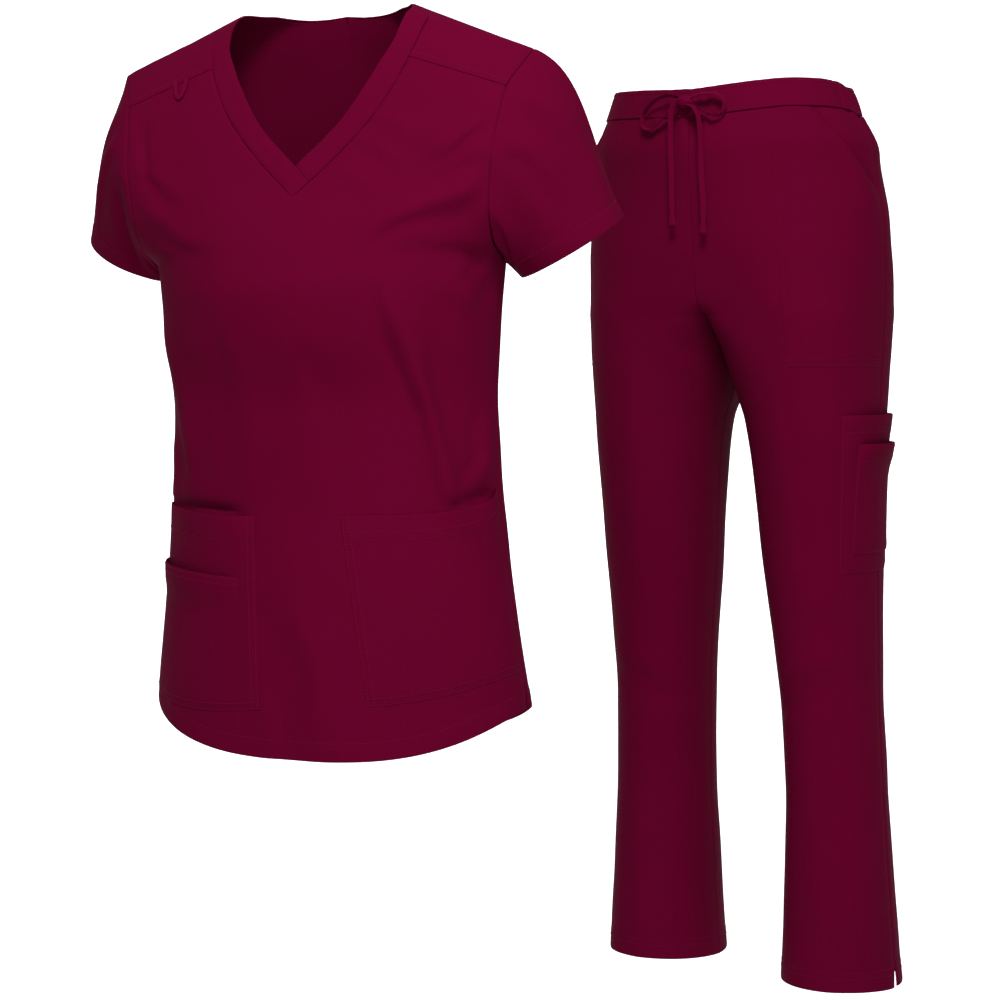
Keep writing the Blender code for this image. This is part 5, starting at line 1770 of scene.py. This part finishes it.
class SCRUBS_OT_neck_band(bpy.types.Operator):
    """Sews the two halves of the V-neck band"""

    bl_idname = "scrubs.neck_band"
    bl_label = "Neck band"

    def execute(self, context):
        for side in (1, -1):
            make_neck_band(side)
        return {"FINISHED"}


class SCRUBS_OT_sleeves(bpy.types.Operator):
    """Sets in the two short sleeves"""

    bl_idname = "scrubs.sleeves"
    bl_label = "Sleeves"

    def execute(self, context):
        for side in (1, -1):
            make_sleeve(side)
        return {"FINISHED"}


class SCRUBS_OT_top_pockets(bpy.types.Operator):
    """Sews on the top's pockets and its badge loop"""

    bl_idname = "scrubs.top_pockets"
    bl_label = "Pockets of the top"

    def execute(self, context):
        make_patch("top_pocket_left", LEFT_POCKET, 1, 1, LEFT_MOUTH)
        make_patch("top_pocket_right", RIGHT_POCKET, -1, 1, RIGHT_MOUTH)
        make_patch("top_pocket_right_slot", RIGHT_SLOT, -1, 2, SLOT_MOUTH)
        make_badge_loop()
        return {"FINISHED"}


class SCRUBS_OT_legs(bpy.types.Operator):
    """Sews the four leg panels of the trousers"""

    bl_idname = "scrubs.legs"
    bl_label = "Trouser legs"

    def execute(self, context):
        for side in (1, -1):
            make_leg(side, True)
            make_leg(side, False)
        return {"FINISHED"}


class SCRUBS_OT_waistband(bpy.types.Operator):
    """Sews on the flat front band and the gathered back band"""

    bl_idname = "scrubs.waistband"
    bl_label = "Waistband"

    def execute(self, context):
        make_waistband_front()
        make_waistband_back()
        return {"FINISHED"}


class SCRUBS_OT_trouser_pockets(bpy.types.Operator):
    """Sews on the hip pockets and the two layers of the cargo pocket"""

    bl_idname = "scrubs.trouser_pockets"
    bl_label = "Pockets of the trousers"

    def execute(self, context):
        for side in (1, -1):
            make_hip_pocket(side)
        make_cargo_pocket("cargo_pocket", CARGO, 1)
        make_cargo_pocket("cargo_pocket_small", SMALL_CARGO, 2)
        return {"FINISHED"}


class SCRUBS_OT_stitches(bpy.types.Operator):
    """Runs the rows of stitches along hems, seams and pockets"""

    bl_idname = "scrubs.stitches"
    bl_label = "Stitches"

    def execute(self, context):
        make_stitches("top_stitches", TOP_STITCHES, back_neck_line(), TOP)
        make_stitches("trouser_stitches", TROUSER_STITCHES, [], TROUSERS)
        return {"FINISHED"}


class SCRUBS_PT_panel(bpy.types.Panel):
    """Lists the pieces of the scrubs and their settings"""

    bl_idname = "SCRUBS_PT_panel"
    bl_label = "Medical scrubs"
    bl_space_type = "VIEW_3D"
    bl_region_type = "UI"
    bl_category = "Scrubs"

    def draw(self, context):
        for operator in OPERATORS:
            self.layout.operator(operator.bl_idname)
        for name, _ in SETTINGS:
            box = self.layout.box()
            settings = getattr(context.scene, name)
            for key in settings.bl_rna.properties.keys():
                if key not in ("rna_type", "name"):
                    box.prop(settings, key)


OPERATORS = (
    SCRUBS_OT_stage,
    SCRUBS_OT_drawstring,
    SCRUBS_OT_top_body,
    SCRUBS_OT_neck_band,
    SCRUBS_OT_sleeves,
    SCRUBS_OT_top_pockets,
    SCRUBS_OT_legs,
    SCRUBS_OT_waistband,
    SCRUBS_OT_trouser_pockets,
    SCRUBS_OT_stitches,
)
SETTINGS = (
    ("scrubs_cloth", ClothSettings),
    ("scrubs_cord", CordSettings),
    ("scrubs_stitches", StitchSettings),
    ("scrubs_colours", ColourSettings),
    ("scrubs_studio", StudioSettings),
)


def register():
    for name, group in SETTINGS:
        bpy.utils.register_class(group)
        setattr(bpy.types.Scene, name, PointerProperty(type=group))
    for operator in OPERATORS:
        bpy.utils.register_class(operator)
    bpy.utils.register_class(SCRUBS_PT_panel)


def unregister():
    bpy.utils.unregister_class(SCRUBS_PT_panel)
    for operator in reversed(OPERATORS):
        bpy.utils.unregister_class(operator)
    for name, group in reversed(SETTINGS):
        delattr(bpy.types.Scene, name)
        bpy.utils.unregister_class(group)


def main():
    register()
    for operator in OPERATORS:
        family, call = operator.bl_idname.split(".")
        getattr(getattr(bpy.ops, family), call)()


if __name__ == "__main__":
    main()
